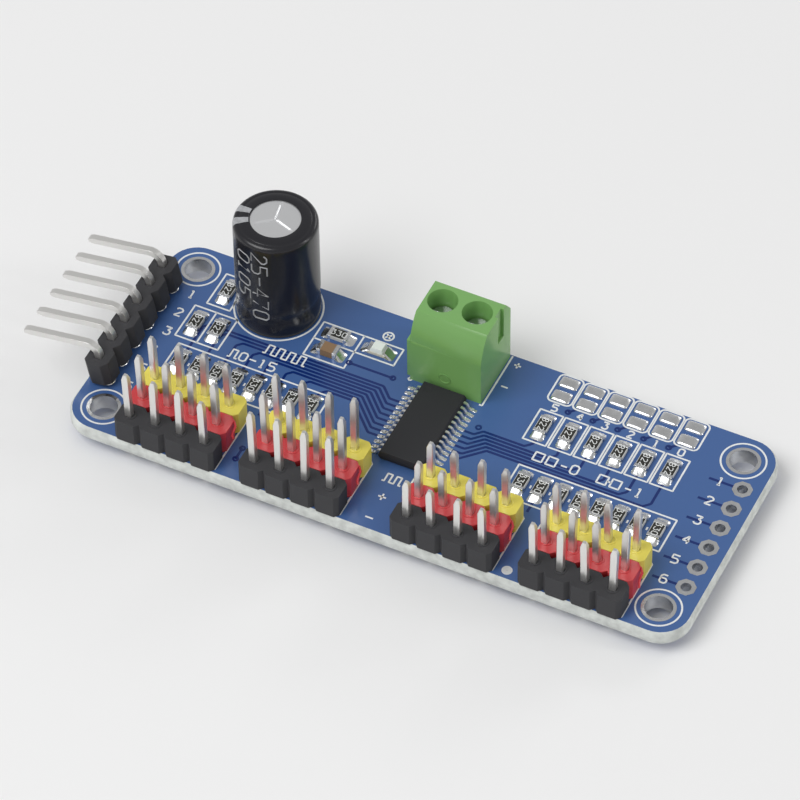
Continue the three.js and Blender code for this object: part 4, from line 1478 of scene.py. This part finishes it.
def add_camera():
    """A long lens that looks down on the board from its front right."""
    turn, tilt, roll = math.radians(26.370), math.radians(48.575), math.radians(-0.8367)
    distance, shift = 503.816, (-2.02519, 3.10155)
    right = Vector((math.cos(turn), math.sin(turn), 0))
    back = Vector((math.sin(turn) * math.cos(tilt), -math.cos(turn) * math.cos(tilt), math.sin(tilt)))
    up = back.cross(right)
    across = right * math.cos(roll) + up * math.sin(roll)
    upward = up * math.cos(roll) - right * math.sin(roll)
    place = back * distance + across * shift[0] + upward * shift[1] + Vector((0, 0, TOP))
    camera = bpy.data.cameras.new("camera")
    camera.lens, camera.sensor_width = 247.37, 36.0
    camera.clip_start, camera.clip_end = 0.05, 20.0
    holder = bpy.data.objects.new("camera", camera)
    axes = Matrix((across, upward, back)).transposed().to_4x4()
    holder.matrix_world = Matrix.Translation(place * MM) @ axes
    bpy.context.scene.collection.objects.link(holder)
    bpy.context.scene.camera = holder


class BOARD_OT_stage(bpy.types.Operator):
    """Builds the floor, the soft lights and the camera"""

    bl_idname = "servo_board.build_stage"
    bl_label = "Stage"

    def execute(self, context):
        mesh = bpy.data.meshes.new("floor")
        reach, level = 4.0, TAIL * MM - 0.00005
        corners = [(x * reach, y * reach, level) for x, y in ((-1, -1), (1, -1), (1, 1), (-1, 1))]
        mesh.from_pydata(corners, [], [(0, 1, 2, 3)])
        mesh.materials.append(finish("floor_paper"))
        floor = bpy.data.objects.new("floor", mesh)
        bpy.context.scene.collection.objects.link(floor)
        light_tent()
        add_softbox("light_over", (-0.22, -0.3, 0.55), (0, 0, 0), (0.4, 0.4), 2.3)
        add_softbox("light_right", (0.5, 0.15, 0.25), (0, 0, 0), (0.06, 0.4), 0.45)
        add_softbox("light_rear", (0.2, 0.6, 0.3), (0, 0, 0), (0.3, 0.12), 0.5)
        context.scene.view_settings.view_transform = "Standard"
        add_camera()
        return {"FINISHED"}


# ---------------------------------------------------------------- panel and running


OPERATORS = (
    BOARD_OT_stage,
    BOARD_OT_plate,
    BOARD_OT_traces,
    BOARD_OT_print,
    BOARD_OT_pads,
    BOARD_OT_servo_strips,
    BOARD_OT_control_header,
    BOARD_OT_capacitor,
    BOARD_OT_terminal,
    BOARD_OT_driver_chip,
    BOARD_OT_chip_parts,
    BOARD_OT_lamp,
)


class BOARD_PT_pieces(bpy.types.Panel):
    """Lists the pieces, sizes and colours of the board"""

    bl_label = "Servo Board"
    bl_idname = "BOARD_PT_pieces"
    bl_space_type = "VIEW_3D"
    bl_region_type = "UI"
    bl_category = "Servo Board"

    def draw(self, context):
        layout = self.layout
        for operator in OPERATORS:
            layout.operator(operator.bl_idname)
        for group in (context.scene.board_sizes, context.scene.board_colours):
            box = layout.box()
            for name in group.__annotations__:
                box.prop(group, name)


CLASSES = (BoardSizes, BoardColours, *OPERATORS, BOARD_PT_pieces)


def register():
    for cls in CLASSES:
        bpy.utils.register_class(cls)
    bpy.types.Scene.board_sizes = bpy.props.PointerProperty(type=BoardSizes)
    bpy.types.Scene.board_colours = bpy.props.PointerProperty(type=BoardColours)


def unregister():
    del bpy.types.Scene.board_colours
    del bpy.types.Scene.board_sizes
    for cls in reversed(CLASSES):
        bpy.utils.unregister_class(cls)


def main():
    register()
    for operator in OPERATORS:
        group, name = operator.bl_idname.split(".")
        getattr(getattr(bpy.ops, group), name)()


if __name__ == "__main__":
    main()
